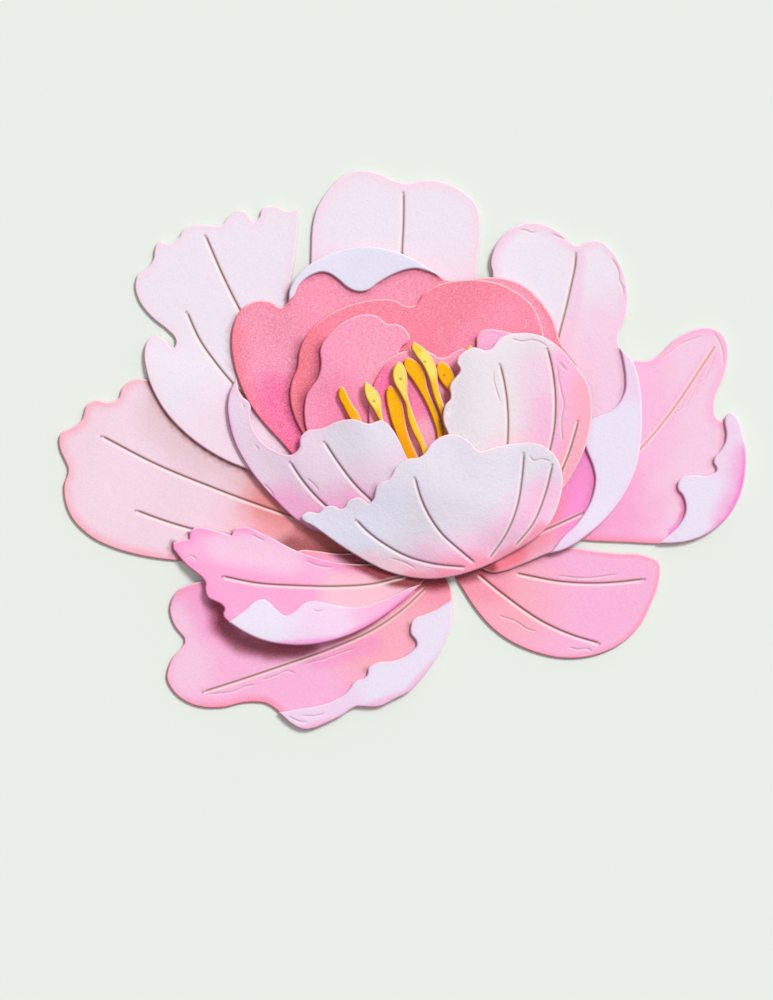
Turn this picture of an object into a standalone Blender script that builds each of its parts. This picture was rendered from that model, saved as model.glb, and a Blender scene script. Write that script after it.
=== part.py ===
"""A layered peony of die-cut card, lying flat with its petals glued in a low dome.

Every petal is one sheet of card, cut to its own outline and scored with veins. The
sheets are laid one on another from the table up, and each one bends down over the
edges of the sheets that it rests on. Lengths are in metres and +Z is up.
"""

from dataclasses import dataclass

import bpy
import numpy as np
from mathutils import Vector, geometry

MM = 0.001

# The whole flower: its height in plan follows from its width
FLOWER_WIDTH = 96.2 * MM

# Card and glue
CARD_THICKNESS = 0.4 * MM
STAMEN_THICKNESS = 0.5 * MM
GLUE_GAP = 0.2 * MM

# How far a sheet takes to come down past the edge of the one below it
DRAPE_REACH = 8.0 * MM

# Scored veins, pressed into the top face
GROOVE_WIDTH = 0.7 * MM
GROOVE_DEPTH = 0.2 * MM

# The stamens' top edges are rounded over by this much
STAMEN_ROUNDING = 0.25 * MM

# The lower edge of the middle petal stands off the petal below it
MID_PETAL_LIFT = 2.2 * MM

# How finely the curves and the bent faces are divided
CURVE_STEPS = 10
CHORD_ERROR = 0.05 * MM
FACE_SPACING = 2.6 * MM
FACE_MARGIN = 1.1 * MM
MERGE_DISTANCE = 0.001 * MM

# Outlines are lists of points on a drawing seen from above, with x to the right and y
# up the flower. A third value of 1 makes a point a sharp corner. The drawing is scaled
# to the flower's width, and one of its units is a millimetre at the width above.

# Edges that an overlay shares with the petal that carries it
RIGHT_TIP_EDGE = [
    (45.0, 3.9, 1), (45.5, 4.85), (46.0, 5.15), (46.5, 4.8), (47.4, 2.8), (48.0, 0.3),
    (48.1, -2.0), (47.4, -6.1), (45.3, -9.7), (42.4, -12.0), (39.0, -13.1), (35.8, -13.2, 1),
]
CRESCENT_EDGE = [
    (30.4, 14.2, 1), (32.0, 12.6), (33.2, 8.9), (33.45, 3.7), (32.95, -1.5), (31.4, -5.6),
    (28.75, -9.3), (25.2, -12.4), (22.1, -14.2), (20.7, -14.5, 1),
]
LOWER_LEFT_TIP_EDGE = [
    (7.0, -21.0, 1), (6.9, -24.4), (4.7, -29.3), (1.3, -33.5), (0.5, -34.2), (-1.6, -35.2),
    (-2.6, -35.8), (-4.6, -36.1), (-6.4, -36.0), (-8.4, -37.2), (-10.8, -38.4),
    (-13.8, -39.2), (-15.8, -38.2), (-17.3, -36.8, 1),
]
MID_TIP_EDGE = [
    (2.7, -18.8, 1), (0.1, -21.1), (-2.9, -23.5), (-8.8, -26.4), (-14.7, -27.3),
    (-20.6, -26.2), (-24.2, -24.1, 1),
]
CURL_EDGE = [
    (-15.9, 20.6, 1), (-15.8, 22.1), (-14.5, 24.4), (-11.7, 26.5), (-8.3, 27.9),
    (-4.7, 28.35), (-1.5, 27.8), (1.5, 26.6), (3.6, 25.4), (5.5, 24.0, 1),
]

# Back petals, which lie on the table
LEFT_PETAL = [
    (-37.8, 9.7), (-39.2, 8.6), (-39.9, 7.0), (-41.2, 6.6), (-42.9, 6.9), (-44.1, 6.3),
    (-45.0, 4.0), (-46.4, 3.0), (-47.9, 2.1), (-48.1, 0.8), (-47.6, -0.9), (-46.8, -2.7),
    (-47.4, -5.2), (-46.4, -9.4), (-43.4, -12.4), (-38.6, -14.4), (-30.3, -15.7),
    (-22.0, -15.9), (-16.0, -15.7), (-11.0, -15.5), (-7.0, -14.2), (-5.4, -11.4),
    (-7.0, -7.6), (-15.0, -2.5), (-25.0, 4.0), (-33.0, 8.8),
]
TOP_PETAL = [
    (-12.8, 24.0), (-12.7, 29.4), (-12.2, 33.2), (-10.9, 35.6), (-8.7, 38.0), (-6.5, 39.0),
    (-3.9, 38.8), (-1.3, 37.7), (0.3, 37.25), (2.9, 37.7), (5.9, 37.4), (8.5, 36.1),
    (10.5, 34.0), (11.0, 31.6), (10.7, 27.6), (10.3, 22.0), (8.4, 15.0), (0.0, 11.5),
    (-9.2, 14.5), (-12.3, 19.5),
]
RIGHT_PETAL = [
    (32.3, 12.4), (34.9, 12.6), (36.25, 13.7), (38.3, 15.5), (40.6, 16.7), (42.8, 17.05),
    (44.7, 16.25), (45.6, 14.15), (45.3, 11.2), (44.3, 8.45), (43.65, 6.1), (44.1, 4.3),
] + RIGHT_TIP_EDGE + [
    (30.3, -13.0), (25.1, -12.7), (20.0, -11.6), (17.6, -8.5), (20.0, -3.0), (24.5, 5.0),
    (28.0, 10.3),
]
LOWER_RIGHT_PETAL = [
    (23.6, -13.7), (29.9, -14.5), (34.5, -15.0), (36.0, -15.9), (36.1, -17.7), (35.2, -20.7),
    (33.0, -25.0), (30.5, -27.3), (27.2, -28.8), (23.4, -29.3), (17.9, -28.2), (14.6, -26.6),
    (12.0, -24.5), (9.8, -21.6), (7.9, -18.7), (6.9, -16.5), (7.6, -13.8), (10.2, -12.2),
    (16.0, -12.8),
]
LOWER_LEFT_PETAL = LOWER_LEFT_TIP_EDGE + [
    (-18.8, -35.7), (-21.0, -35.4), (-25.6, -36.2), (-29.0, -35.9), (-31.7, -34.3),
    (-33.0, -32.0), (-32.3, -29.4), (-30.5, -26.7), (-31.8, -24.9), (-32.6, -22.3),
    (-31.4, -19.7), (-29.0, -18.7), (-22.0, -17.8), (-17.0, -15.6), (-14.2, -14.1),
    (-11.5, -14.3), (-8.7, -14.6), (-4.0, -14.2), (0.0, -14.0), (3.6, -14.9),
    (5.7, -17.2), (6.8, -19.2),
]

# Petals that rest on the back petals
UPPER_LEFT_PETAL = [
    (-16.0, 21.5), (-15.4, 24.4), (-14.8, 29.0), (-14.4, 33.7, 1), (-16.0, 33.4),
    (-18.3, 34.1), (-19.6, 33.7), (-20.2, 32.3), (-20.9, 31.9), (-21.6, 33.0), (-22.9, 33.5),
    (-24.2, 32.7), (-25.3, 31.4), (-27.3, 31.5), (-29.4, 31.4), (-30.6, 30.8),
    (-31.3, 29.6), (-33.0, 28.8), (-33.9, 29.2), (-34.5, 28.5), (-34.9, 26.6),
    (-35.7, 25.4), (-37.0, 24.5), (-37.4, 22.4), (-36.6, 20.3), (-34.8, 18.2),
    (-32.7, 16.5), (-31.7, 15.1), (-31.9, 14.3), (-33.3, 15.4), (-34.7, 16.0),
    (-35.9, 14.7), (-35.9, 11.5), (-33.9, 6.4), (-29.1, 1.2), (-25.0, -1.4),
    (-21.0, -3.1), (-16.0, -6.0), (-11.0, -9.2), (-6.0, -10.4), (-2.6, -8.0),
    (-4.5, 0.5), (-10.5, 9.0), (-14.6, 15.5),
]
UPPER_RIGHT_PETAL = [
    (12.3, 22.5), (12.6, 24.4), (12.3, 26.2), (13.0, 28.4), (14.4, 30.2), (16.9, 31.6),
    (19.3, 31.6), (21.8, 30.5), (23.5, 29.0), (24.5, 28.5), (25.7, 29.0), (27.5, 29.2),
    (29.0, 28.2), (30.8, 25.3), (31.6, 21.8), (31.3, 18.4), (30.2, 15.5),
] + CRESCENT_EDGE + [
    (16.8, -16.1), (12.3, -17.2), (8.9, -14.6), (6.0, -9.5), (4.2, -3.0), (5.0, 5.0),
    (8.6, 13.0), (11.4, 18.5),
]
MID_PETAL = MID_TIP_EDGE + [
    (-25.0, -23.1), (-24.8, -22.2), (-25.9, -21.3), (-27.0, -20.8), (-27.5, -19.8),
    (-27.5, -18.6), (-28.3, -17.6), (-29.3, -16.9), (-30.9, -15.4), (-32.1, -13.8, 1),
    (-32.0, -13.1), (-31.0, -12.8), (-29.8, -12.5, 1), (-29.7, -11.6), (-28.8, -10.9),
    (-27.0, -11.2), (-23.9, -12.0, 1), (-23.5, -11.2), (-22.1, -10.8), (-20.8, -11.2),
    (-18.9, -12.1), (-16.4, -13.3), (-14.0, -14.5), (-12.2, -15.1), (-9.2, -15.8),
    (-4.0, -16.0), (1.6, -15.0), (4.6, -15.8),
]

# Coral and pink petals of the cup
CORAL_LARGE = CURL_EDGE + [
    (10.3, 23.9), (13.2, 24.0), (16.6, 23.1), (19.3, 20.8), (21.3, 17.6), (22.0, 15.2),
    (23.3, 13.4), (24.7, 11.3), (24.2, 6.5), (22.2, 0.0), (18.0, -6.6), (11.0, -11.6),
    (3.0, -12.8), (-4.5, -11.0), (-10.5, -6.4), (-15.5, -0.6), (-18.2, 2.4), (-21.4, 6.4),
    (-23.0, 10.0),
    (-23.9, 14.2), (-23.6, 17.5), (-22.3, 19.8), (-20.0, 20.8), (-17.9, 20.4), (-16.9, 19.8),
]
CORAL_SECOND = [
    (-15.3, 5.2), (-15.7, 7.5), (-15.5, 9.3), (-14.8, 11.0), (-14.3, 14.0), (-13.4, 15.9),
    (-11.1, 18.2), (-7.1, 20.2), (-3.9, 20.9), (-1.1, 20.8), (0.6, 20.0), (1.8, 20.1),
    (2.9, 21.6), (4.9, 22.9), (8.1, 23.6), (11.3, 23.6), (15.0, 22.5), (18.2, 20.0),
    (19.6, 16.7), (19.8, 11.0), (18.6, 4.0), (15.2, -3.2), (9.6, -8.4), (3.0, -9.8),
    (-4.0, -8.2), (-9.0, -4.4), (-12.6, 0.2), (-14.3, 2.9),
]
PINK_LEFT = [
    (-13.4, 2.8), (-13.7, 5.3), (-13.4, 7.5), (-12.0, 9.6), (-11.4, 11.4), (-11.4, 14.2),
    (-10.1, 16.1), (-7.7, 18.0), (-5.0, 18.8), (-3.3, 18.5), (-2.1, 17.5), (-0.8, 17.5),
    (0.6, 16.5), (1.1, 15.4), (0.5, 14.8), (-0.3, 14.0), (0.4, 10.0), (1.0, 4.0),
    (0.8, -3.0), (-2.4, -6.2), (-6.8, -4.2), (-11.4, -0.3),
]
PINK_CENTRE = [
    (-4.4, 7.6), (-3.6, 9.9), (-2.3, 11.9), (-0.7, 13.3), (1.1, 13.8), (3.5, 13.7),
    (5.5, 12.7), (7.0, 13.4), (8.4, 14.0), (9.4, 13.6), (9.7, 10.0), (9.6, 4.0),
    (9.4, -2.6), (6.6, -6.4), (2.4, -7.4), (-1.6, -5.2), (-4.4, 1.5),
]
PINK_RIGHT = [
    (10.3, 14.4), (10.5, 16.0), (11.4, 16.6), (13.9, 16.5), (16.8, 15.4), (18.2, 12.0),
    (17.0, 7.0), (13.8, 2.6), (11.2, 2.6), (10.4, 7.0),
]

# Stamens, two combs of four filaments each
ORANGE_STAMENS = [
    (2.0, -5.4), (-1.6, -2.6), (-4.9, 1.2), (-7.4, 4.2), (-8.5, 6.5), (-9.0, 8.0),
    (-8.4, 8.8), (-7.7, 7.9), (-7.1, 6.5), (-6.3, 5.4), (-5.8, 4.2), (-3.6, 1.0),
    (-1.0, -1.6), (1.0, -3.4, 1), (0.3, -1.3), (-0.8, 1.6), (-1.7, 4.2), (-2.2, 6.4),
    (-2.3, 8.0), (-1.7, 8.9), (-0.9, 8.4), (-0.2, 7.1), (0.3, 4.6), (1.0, 1.6),
    (2.4, -1.4), (3.5, -3.4, 1), (4.5, -0.8), (4.7, 2.4), (3.6, 5.4), (2.2, 8.3),
    (0.7, 10.6), (0.1, 12.0), (0.6, 12.7), (1.9, 12.3), (3.0, 11.0), (3.4, 9.0),
    (4.3, 6.6), (5.4, 4.0), (6.0, 1.6), (6.0, -1.0), (6.2, -3.4, 1), (6.8, -0.8),
    (7.0, 3.0), (6.5, 7.8), (5.4, 9.2), (4.7, 10.8), (4.8, 11.8), (5.6, 12.2),
    (6.5, 11.6), (7.2, 10.3), (7.9, 8.0), (8.3, 3.0), (8.3, -2.0), (7.6, -5.0), (4.9, -6.2),
]
YELLOW_STAMENS = [
    (2.8, -4.4), (-0.4, -2.2), (-2.3, 0.4), (-3.3, 4.0), (-4.6, 6.3), (-5.4, 8.2),
    (-5.1, 9.4), (-4.3, 8.8), (-3.2, 7.5), (-2.9, 6.4), (-2.9, 5.3), (-2.4, 4.0),
    (-1.4, 1.2), (0.0, -1.3), (2.5, -2.6, 1), (2.7, -0.6), (1.8, 1.4), (0.8, 3.8),
    (0.2, 6.6), (-0.8, 8.4), (-1.4, 9.8), (-1.3, 11.3), (-0.4, 12.2), (0.3, 11.4),
    (0.7, 9.7), (0.7, 8.0), (1.2, 6.0), (2.3, 2.9), (3.6, 0.0), (4.6, -2.6, 1),
    (5.5, -0.4), (5.7, 3.0), (4.4, 7.0), (3.6, 9.8), (2.9, 11.4), (1.7, 13.1),
    (1.2, 14.4), (1.6, 14.9), (2.5, 14.4), (3.9, 13.1), (4.7, 11.4), (4.9, 9.4),
    (5.7, 6.4), (6.7, 2.6), (6.7, -0.6), (6.9, -2.6, 1), (7.9, 0.4), (8.6, 6.0),
    (8.7, 11.0), (8.8, 13.6), (9.4, 14.5), (10.0, 13.6), (9.8, 10.0), (9.4, 4.0),
    (8.6, -1.4), (7.6, -4.0), (5.1, -5.0),
]

# Front petals, which close the cup
FRONT_RIGHT_PETAL = [
    (6.3, 2.0), (5.6, 4.2), (5.8, 5.8), (6.7, 7.2), (6.5, 8.6), (7.6, 10.2), (8.0, 10.9),
    (7.5, 12.1), (8.3, 13.3), (10.0, 14.1), (11.9, 13.7), (12.7, 14.5), (13.9, 15.6),
    (16.9, 16.2), (19.6, 15.7), (22.0, 14.1), (24.2, 11.6), (26.0, 8.8), (26.45, 5.4),
    (25.9, 1.5), (24.0, -3.0), (21.6, -6.4), (18.0, -8.6), (12.0, -8.6), (7.6, -5.0),
    (6.4, -1.0),
]
FRONT_LEFT_PETAL = [
    (-23.2, 9.9, 1), (-24.3, 7.4), (-24.3, 4.1), (-23.1, 0.2), (-21.0, -3.3),
    (-16.7, -8.1), (-13.2, -11.0), (-9.0, -12.0), (-3.0, -11.2), (1.6, -8.2), (2.4, -4.6),
    (0.7, -1.4), (-0.5, 1.3), (-1.6, 3.0), (-2.8, 3.95), (-4.7, 3.5), (-6.5, 4.1),
    (-8.8, 3.9), (-11.3, 2.85), (-13.2, 2.6), (-14.2, 1.7), (-14.5, 0.0), (-15.2, -0.7),
    (-17.6, -0.3), (-20.2, 1.8), (-21.2, 4.1), (-21.3, 6.4), (-22.5, 7.5),
]
FRONT_PETAL = [
    (-14.1, -9.5), (-13.0, -8.7), (-11.7, -8.95), (-10.7, -8.05), (-9.6, -7.9),
    (-8.5, -8.4), (-7.3, -7.1), (-6.1, -6.7), (-4.6, -7.6), (-4.0, -6.4), (-3.2, -4.8),
    (-1.9, -4.2), (-0.9, -2.6), (0.8, -1.4), (2.5, -1.1), (4.1, 0.8), (5.6, 1.8),
    (7.4, 2.0), (9.2, 1.1), (10.7, -0.3), (12.6, 0.2), (15.8, 0.8), (19.0, 0.7),
    (21.2, -0.8), (22.35, -3.9), (21.9, -7.2), (20.1, -10.9), (15.8, -14.1),
    (10.1, -16.9), (4.6, -18.1), (-1.1, -17.4), (-7.1, -14.4), (-12.2, -10.9),
]

# Overlays of pale card, glued along the edge of the petal that carries each one
RIGHT_TIP = RIGHT_TIP_EDGE + [
    (37.6, -11.6), (38.8, -10.4), (39.6, -8.4), (39.3, -6.7), (38.4, -5.3), (38.9, -4.1),
    (40.5, -3.6), (43.0, -3.6), (43.9, -2.9), (43.45, -1.7), (44.4, -0.3), (45.2, 1.4),
]
CRESCENT = CRESCENT_EDGE + [
    (22.1, -12.6), (24.5, -10.2), (26.6, -6.3), (26.9, -3.6), (26.0, -0.9), (25.3, 1.6),
    (25.6, 3.8), (27.3, 4.6), (29.6, 5.7), (31.0, 8.0), (31.0, 11.3),
]
LOWER_LEFT_TIP = LOWER_LEFT_TIP_EDGE + [
    (-14.7, -36.3), (-10.2, -35.4), (-7.8, -34.0), (-6.4, -32.3), (-5.2, -31.9),
    (-4.6, -30.4), (-3.8, -29.9), (-1.4, -29.6), (0.6, -28.8), (2.0, -27.2), (1.1, -25.6),
    (1.4, -24.0), (3.9, -22.8),
]
MID_TIP = MID_TIP_EDGE + [
    (-22.0, -22.5), (-20.5, -21.2), (-19.3, -20.9), (-17.6, -22.3), (-16.2, -23.2),
    (-14.7, -22.3), (-13.3, -21.3), (-9.4, -21.7), (-5.8, -22.0), (-2.9, -21.1),
    (0.1, -19.7),
]
CURL_TOP = CURL_EDGE + [
    (3.6, 24.8), (2.0, 25.2), (-0.5, 24.7), (-3.1, 23.4), (-5.4, 22.0), (-7.0, 22.2),
    (-9.1, 23.8), (-10.9, 24.7), (-12.8, 24.2), (-14.4, 22.9), (-15.2, 21.3),
]


@dataclass
class Sheet:
    """One die-cut sheet: its outline, its veins and the sheets that it rests on."""

    name: str
    colour: tuple
    outline: list
    rests_on: tuple = ()
    veins: tuple = ()
    thickness: float = CARD_THICKNESS
    rounding: float = 0.0


PALE_LILAC = (0.79, 0.76, 0.89)
SHELL_PINK = (0.87, 0.75, 0.82)
ROSE_PINK = (0.90, 0.42, 0.60)
HOT_PINK = (0.96, 0.30, 0.58)
CORAL = (0.96, 0.22, 0.30)
BLUSH = (0.95, 0.30, 0.48)
AMBER = (1.00, 0.38, 0.00)
LEMON = (0.94, 0.73, 0.12)

# From the table up
SHEETS = [
    Sheet("back_petal_left", SHELL_PINK, LEFT_PETAL, (), (
        [(-42.1, 1.9), (-34.6, -2.0), (-26.6, -5.3), (-18.5, -8.3), (-11.0, -10.7)],
        [(-37.3, -8.5), (-33.5, -9.9), (-29.5, -11.1), (-20.0, -12.6)],
    )),
    Sheet("back_petal_top", SHELL_PINK, TOP_PETAL, (), (
        [(0.15, 36.0), (0.1, 31.6), (-0.1, 27.6), (-0.1, 20.0)],
    )),
    Sheet("back_petal_right", ROSE_PINK, RIGHT_PETAL, (), (
        [(43.6, 14.3), (41.7, 11.4), (37.2, 4.8), (33.3, 0.15), (28.0, -4.4)],
    )),
    Sheet("back_petal_lower_right", ROSE_PINK, LOWER_RIGHT_PETAL, (), (
        [(33.9, -18.1), (30.5, -18.5), (26.7, -18.7), (22.5, -18.5), (15.9, -17.3)],
        [(27.6, -27.1), (23.9, -26.0), (20.2, -24.4), (13.9, -20.1), (10.6, -17.4)],
    )),
    Sheet("back_petal_lower_left", ROSE_PINK, LOWER_LEFT_PETAL, ("back_petal_left",), (
        [(-27.9, -33.9), (-22.0, -32.0), (-16.4, -30.1), (-10.2, -27.9), (-4.3, -25.3),
         (0.1, -22.3), (3.2, -19.4)],
    )),
    Sheet("back_petal_upper_left", SHELL_PINK, UPPER_LEFT_PETAL, ("back_petal_left",), (
        [(-27.6, 30.0), (-25.0, 24.0), (-22.75, 19.5), (-18.0, 11.5)],
        [(-30.2, 19.3), (-28.3, 15.2), (-26.5, 12.6), (-23.9, 9.4), (-17.0, 2.8)],
    )),
    Sheet("back_petal_upper_right", SHELL_PINK, UPPER_RIGHT_PETAL,
          ("back_petal_top", "back_petal_right", "back_petal_lower_right"), (
        [(24.3, 27.5), (24.1, 25.5), (23.6, 23.1), (23.0, 20.4), (21.6, 15.0)],
        [(25.3, -8.8), (21.6, -10.5), (18.6, -11.8)],
    )),
    Sheet("tip_overlay_right", PALE_LILAC, RIGHT_TIP, ("back_petal_right",)),
    Sheet("tip_overlay_lower_left", PALE_LILAC, LOWER_LEFT_TIP, ("back_petal_lower_left",)),
    Sheet("mid_petal_lower_left", HOT_PINK, MID_PETAL,
          ("back_petal_left", "back_petal_lower_left"), (
        [(-25.1, -17.7), (-20.6, -18.6), (-14.7, -19.0), (-8.8, -19.1), (-4.3, -18.8),
         (0.6, -17.6)],
    )),
    Sheet("tip_overlay_mid", PALE_LILAC, MID_TIP, ("mid_petal_lower_left",)),
    Sheet("edge_overlay_crescent", PALE_LILAC, CRESCENT, ("back_petal_upper_right",)),
    Sheet("coral_petal_large", CORAL, CORAL_LARGE,
          ("back_petal_upper_left", "back_petal_upper_right")),
    Sheet("curl_overlay_top", PALE_LILAC, CURL_TOP, ("coral_petal_large",)),
    Sheet("coral_petal_second", CORAL, CORAL_SECOND, ("coral_petal_large",)),
    Sheet("pink_petal_left", BLUSH, PINK_LEFT, ("coral_petal_second",)),
    Sheet("pink_petal_centre", BLUSH, PINK_CENTRE, ("pink_petal_left",)),
    Sheet("pink_petal_right", BLUSH, PINK_RIGHT, ("coral_petal_second",)),
    Sheet("stamens_orange", AMBER, ORANGE_STAMENS, ("pink_petal_centre",), (),
          STAMEN_THICKNESS, STAMEN_ROUNDING),
    Sheet("stamens_yellow", LEMON, YELLOW_STAMENS, ("stamens_orange",), (),
          STAMEN_THICKNESS, STAMEN_ROUNDING),
    Sheet("front_petal_right", SHELL_PINK, FRONT_RIGHT_PETAL,
          ("stamens_yellow", "pink_petal_right", "edge_overlay_crescent"), (
        [(13.55, 11.9), (14.2, 9.0), (14.6, 5.9), (14.6, 0.9), (14.2, -3.5)],
        [(20.2, 14.1), (20.8, 11.5), (21.3, 5.9), (21.1, 2.9), (19.6, -3.5)],
        [(24.5, 4.0), (24.0, 2.2), (23.25, -0.3), (22.0, -3.4)],
    )),
    Sheet("front_petal_left", SHELL_PINK, FRONT_LEFT_PETAL, ("stamens_yellow",), (
        [(-15.7, -1.7), (-13.9, -4.4), (-12.2, -6.4), (-9.4, -9.0)],
        [(-10.9, 1.1), (-8.8, -2.1), (-6.8, -4.7), (-3.4, -8.0)],
    )),
    Sheet("front_petal", PALE_LILAC, FRONT_PETAL,
          ("front_petal_left", "front_petal_right", "mid_petal_lower_left"), (
        [(-6.5, -9.8), (-4.8, -11.5), (-2.2, -13.4), (0.6, -14.9), (4.1, -15.9), (8.8, -16.4)],
        [(1.7, -3.9), (2.4, -6.4), (3.5, -8.9), (5.5, -11.8), (7.8, -13.9), (10.1, -15.8)],
        [(16.9, -0.5), (16.6, -4.1), (15.9, -8.1), (14.4, -11.8), (12.1, -15.2)],
        [(20.9, -2.1), (19.8, -6.4), (18.1, -10.4), (15.7, -13.4)],
    )),
]


def drawing_unit():
    """The length of one unit of the drawing, at which the flower has its width."""
    across = [point[0] for sheet in SHEETS for point in sheet.outline]
    return FLOWER_WIDTH / (max(across) - min(across))


UNIT = drawing_unit()

# Where the middle petal starts to lift, and where it has lifted fully
MID_PETAL_LIFT_FROM = Vector((0.0, -14.0)) * UNIT
MID_PETAL_LIFT_TO = Vector((-14.0, -26.0)) * UNIT


def tangent(before, here, after):
    """The curve's direction at a point, from its two neighbours."""
    step_in = here - before
    step_out = after - here
    length_in = step_in.length
    length_out = step_out.length
    rate = step_in * (length_out / length_in) + step_out * (length_in / length_out)
    return rate / (length_in + length_out)


def smooth_span(start, end, start_rate, end_rate):
    """Points along one span of the curve, without its end."""
    length = (end - start).length
    points = []
    for step in range(CURVE_STEPS):
        t = step / CURVE_STEPS
        points.append(
            start * (2 * t ** 3 - 3 * t ** 2 + 1)
            + start_rate * (length * (t ** 3 - 2 * t ** 2 + t))
            + end * (3 * t ** 2 - 2 * t ** 3)
            + end_rate * (length * (t ** 3 - t ** 2))
        )
    return points


def smooth_curve(chosen, closed):
    """A smooth curve through the chosen points, which turns sharply at its corners."""
    points = [Vector(point[:2]) * UNIT for point in chosen]
    count = len(points)
    sharp = [len(point) > 2 for point in chosen]
    if not closed:
        sharp[0] = sharp[-1] = True
    curve = []
    for index in range(count if closed else count - 1):
        after = (index + 1) % count
        here, there = points[index], points[after]
        straight = (there - here).normalized()
        start_rate = end_rate = straight
        if not sharp[index]:
            start_rate = tangent(points[index - 1], here, there)
        if not sharp[after]:
            end_rate = tangent(here, there, points[(after + 1) % count])
        curve += smooth_span(here, there, start_rate, end_rate)
    return curve if closed else curve + [points[-1]]


def strays(curve, start, end):
    """How far the curve between two of its points bows from their chord."""
    chord = (curve[end] - curve[start]).normalized()
    return max(abs(chord.cross(point - curve[start])) for point in curve[start + 1:end])


def thinned(curve):
    """The curve with the points that its chord error allows to go left out."""
    kept = [0]
    for index in range(2, len(curve)):
        if strays(curve, kept[-1], index) > CHORD_ERROR:
            kept.append(index - 1)
    return [curve[index] for index in kept] + [curve[-1]]


def edge_distance(points, loop):
    """For each point, the distance to the loop, and whether the point is inside it."""
    starts = np.array(loop)
    steps = np.roll(starts, -1, axis=0) - starts
    offsets = points[:, None, :] - starts[None, :, :]
    along = (offsets * steps).sum(axis=2) / (steps ** 2).sum(axis=1)
    nearest = offsets - np.clip(along, 0, 1)[:, :, None] * steps
    distance = np.sqrt((nearest ** 2).sum(axis=2)).min(axis=1)
    ends_y = starts[:, 1] + steps[:, 1]
    straddles = (starts[:, 1] > points[:, 1:2]) != (ends_y > points[:, 1:2])
    rise = np.where(steps[:, 1] == 0, 1, steps[:, 1])
    crossing = starts[:, 0] + steps[:, 0] * (points[:, 1:2] - starts[:, 1]) / rise
    inside = (straddles & (points[:, 0:1] < crossing)).sum(axis=1) % 2 == 1
    return distance, inside


def smoothstep(value):
    """A soft ramp from 0 to 1."""
    share = np.clip(value, 0, 1)
    return share * share * (3 - 2 * share)


def coverage(points, loop):
    """1 over a sheet, falling to 0 over the drape's reach beyond its edge."""
    distance, inside = edge_distance(points, loop)
    return np.where(inside, 1.0, smoothstep(1 - distance / DRAPE_REACH))


def stack_below(sheet, sheets):
    """Every sheet that lies under this one, directly or through another."""
    below = set()
    for name in sheet.rests_on:
        below.add(name)
        below |= stack_below(sheets[name], sheets)
    return below


def free_lift(sheet_name, points):
    """How far a sheet stands off what carries it, where it isn't glued down."""
    if sheet_name != "mid_petal_lower_left":
        return np.zeros(len(points))
    run = MID_PETAL_LIFT_TO - MID_PETAL_LIFT_FROM
    leftwards = smoothstep((points[:, 0] - MID_PETAL_LIFT_FROM.x) / run.x)
    downwards = smoothstep((points[:, 1] - MID_PETAL_LIFT_FROM.y) / run.y)
    return MID_PETAL_LIFT * leftwards * downwards


def underside(sheet, sheets, loops, points):
    """The height of a sheet's lower face over the table at each point."""
    height = free_lift(sheet.name, points)
    for name in sorted(stack_below(sheet, sheets)):
        pitch = sheets[name].thickness + GLUE_GAP
        height += coverage(points, loops[name]) * (pitch + free_lift(name, points))
    return height


def face_points(loop, lines):
    """A triangular grid inside the outline, clear of its edge and of the veins."""
    low = np.floor(np.min(loop, axis=0) / FACE_SPACING).astype(int) - 1
    high = np.ceil(np.max(loop, axis=0) / FACE_SPACING).astype(int) + 1
    row_height = FACE_SPACING * 0.75 ** 0.5
    grid = []
    for row in range(low[1], int(high[1] * FACE_SPACING / row_height) + 2):
        for column in range(low[0], high[0] + 1):
            grid.append(((column + 0.5 * (row % 2)) * FACE_SPACING, row * row_height))
    grid = np.array(grid)
    distance, inside = edge_distance(grid, loop)
    free = inside & (distance > FACE_MARGIN)
    for line in lines:
        there_and_back = line + line[-2:0:-1]
        free &= edge_distance(grid, there_and_back)[0] > FACE_MARGIN
    return [Vector(point) for point in grid[free]]


def groove_lines(vein):
    """A vein's bottom line, and the loop of its two shoulders."""
    bottom = thinned(smooth_curve(vein, closed=False))
    left, right = [], []
    for index in range(1, len(bottom) - 1):
        along = (bottom[index + 1] - bottom[index - 1]).normalized()
        aside = Vector((-along.y, along.x)) * (GROOVE_WIDTH / 2)
        left.append(bottom[index] + aside)
        right.append(bottom[index] - aside)
    return bottom, left, right


def inset(loop, depth):
    """The points of the loop moved inwards, where there is room for them."""
    moved = []
    for index, here in enumerate(loop):
        along = (loop[(index + 1) % len(loop)] - loop[index - 1]).normalized()
        aside = Vector((-along.y, along.x)) * depth
        moved += [here + aside, here - aside]
    distance, inside = edge_distance(np.array(moved), loop)
    return [point for point, kept in zip(moved, inside & (distance > 0.9 * depth)) if kept]


def paint(name, colour):
    """A matt card material in one colour."""
    material = bpy.data.materials.new(name + "_card")
    material.use_nodes = True
    shader = material.node_tree.nodes["Principled BSDF"]
    shader.inputs["Base Color"].default_value = (*colour, 1.0)
    shader.inputs["Roughness"].default_value = 0.8
    shader.inputs["Metallic"].default_value = 0.0
    return material


def grooved_points(loop, sheet):
    """Points and edges to triangulate, and which of the points are pressed down."""
    points = list(loop)
    count = len(points)
    edges = [(index, (index + 1) % count) for index in range(count)]
    bottoms = []
    pressed = []
    if sheet.rounding:
        pressed += loop
        points += inset(loop, sheet.rounding)
    for vein in sheet.veins:
        bottom, left, right = groove_lines(vein)
        bottoms.append(bottom)
        first = len(points)
        points += bottom
        last = len(points) - 1
        edges += [(index, index + 1) for index in range(first, last)]
        pressed += points[first + 1:last]
        for shoulder in (left, right):
            run = [first, *range(len(points), len(points) + len(shoulder)), last]
            points += shoulder
            edges += zip(run, run[1:])
    return points + face_points(loop, bottoms), edges, pressed


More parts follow.
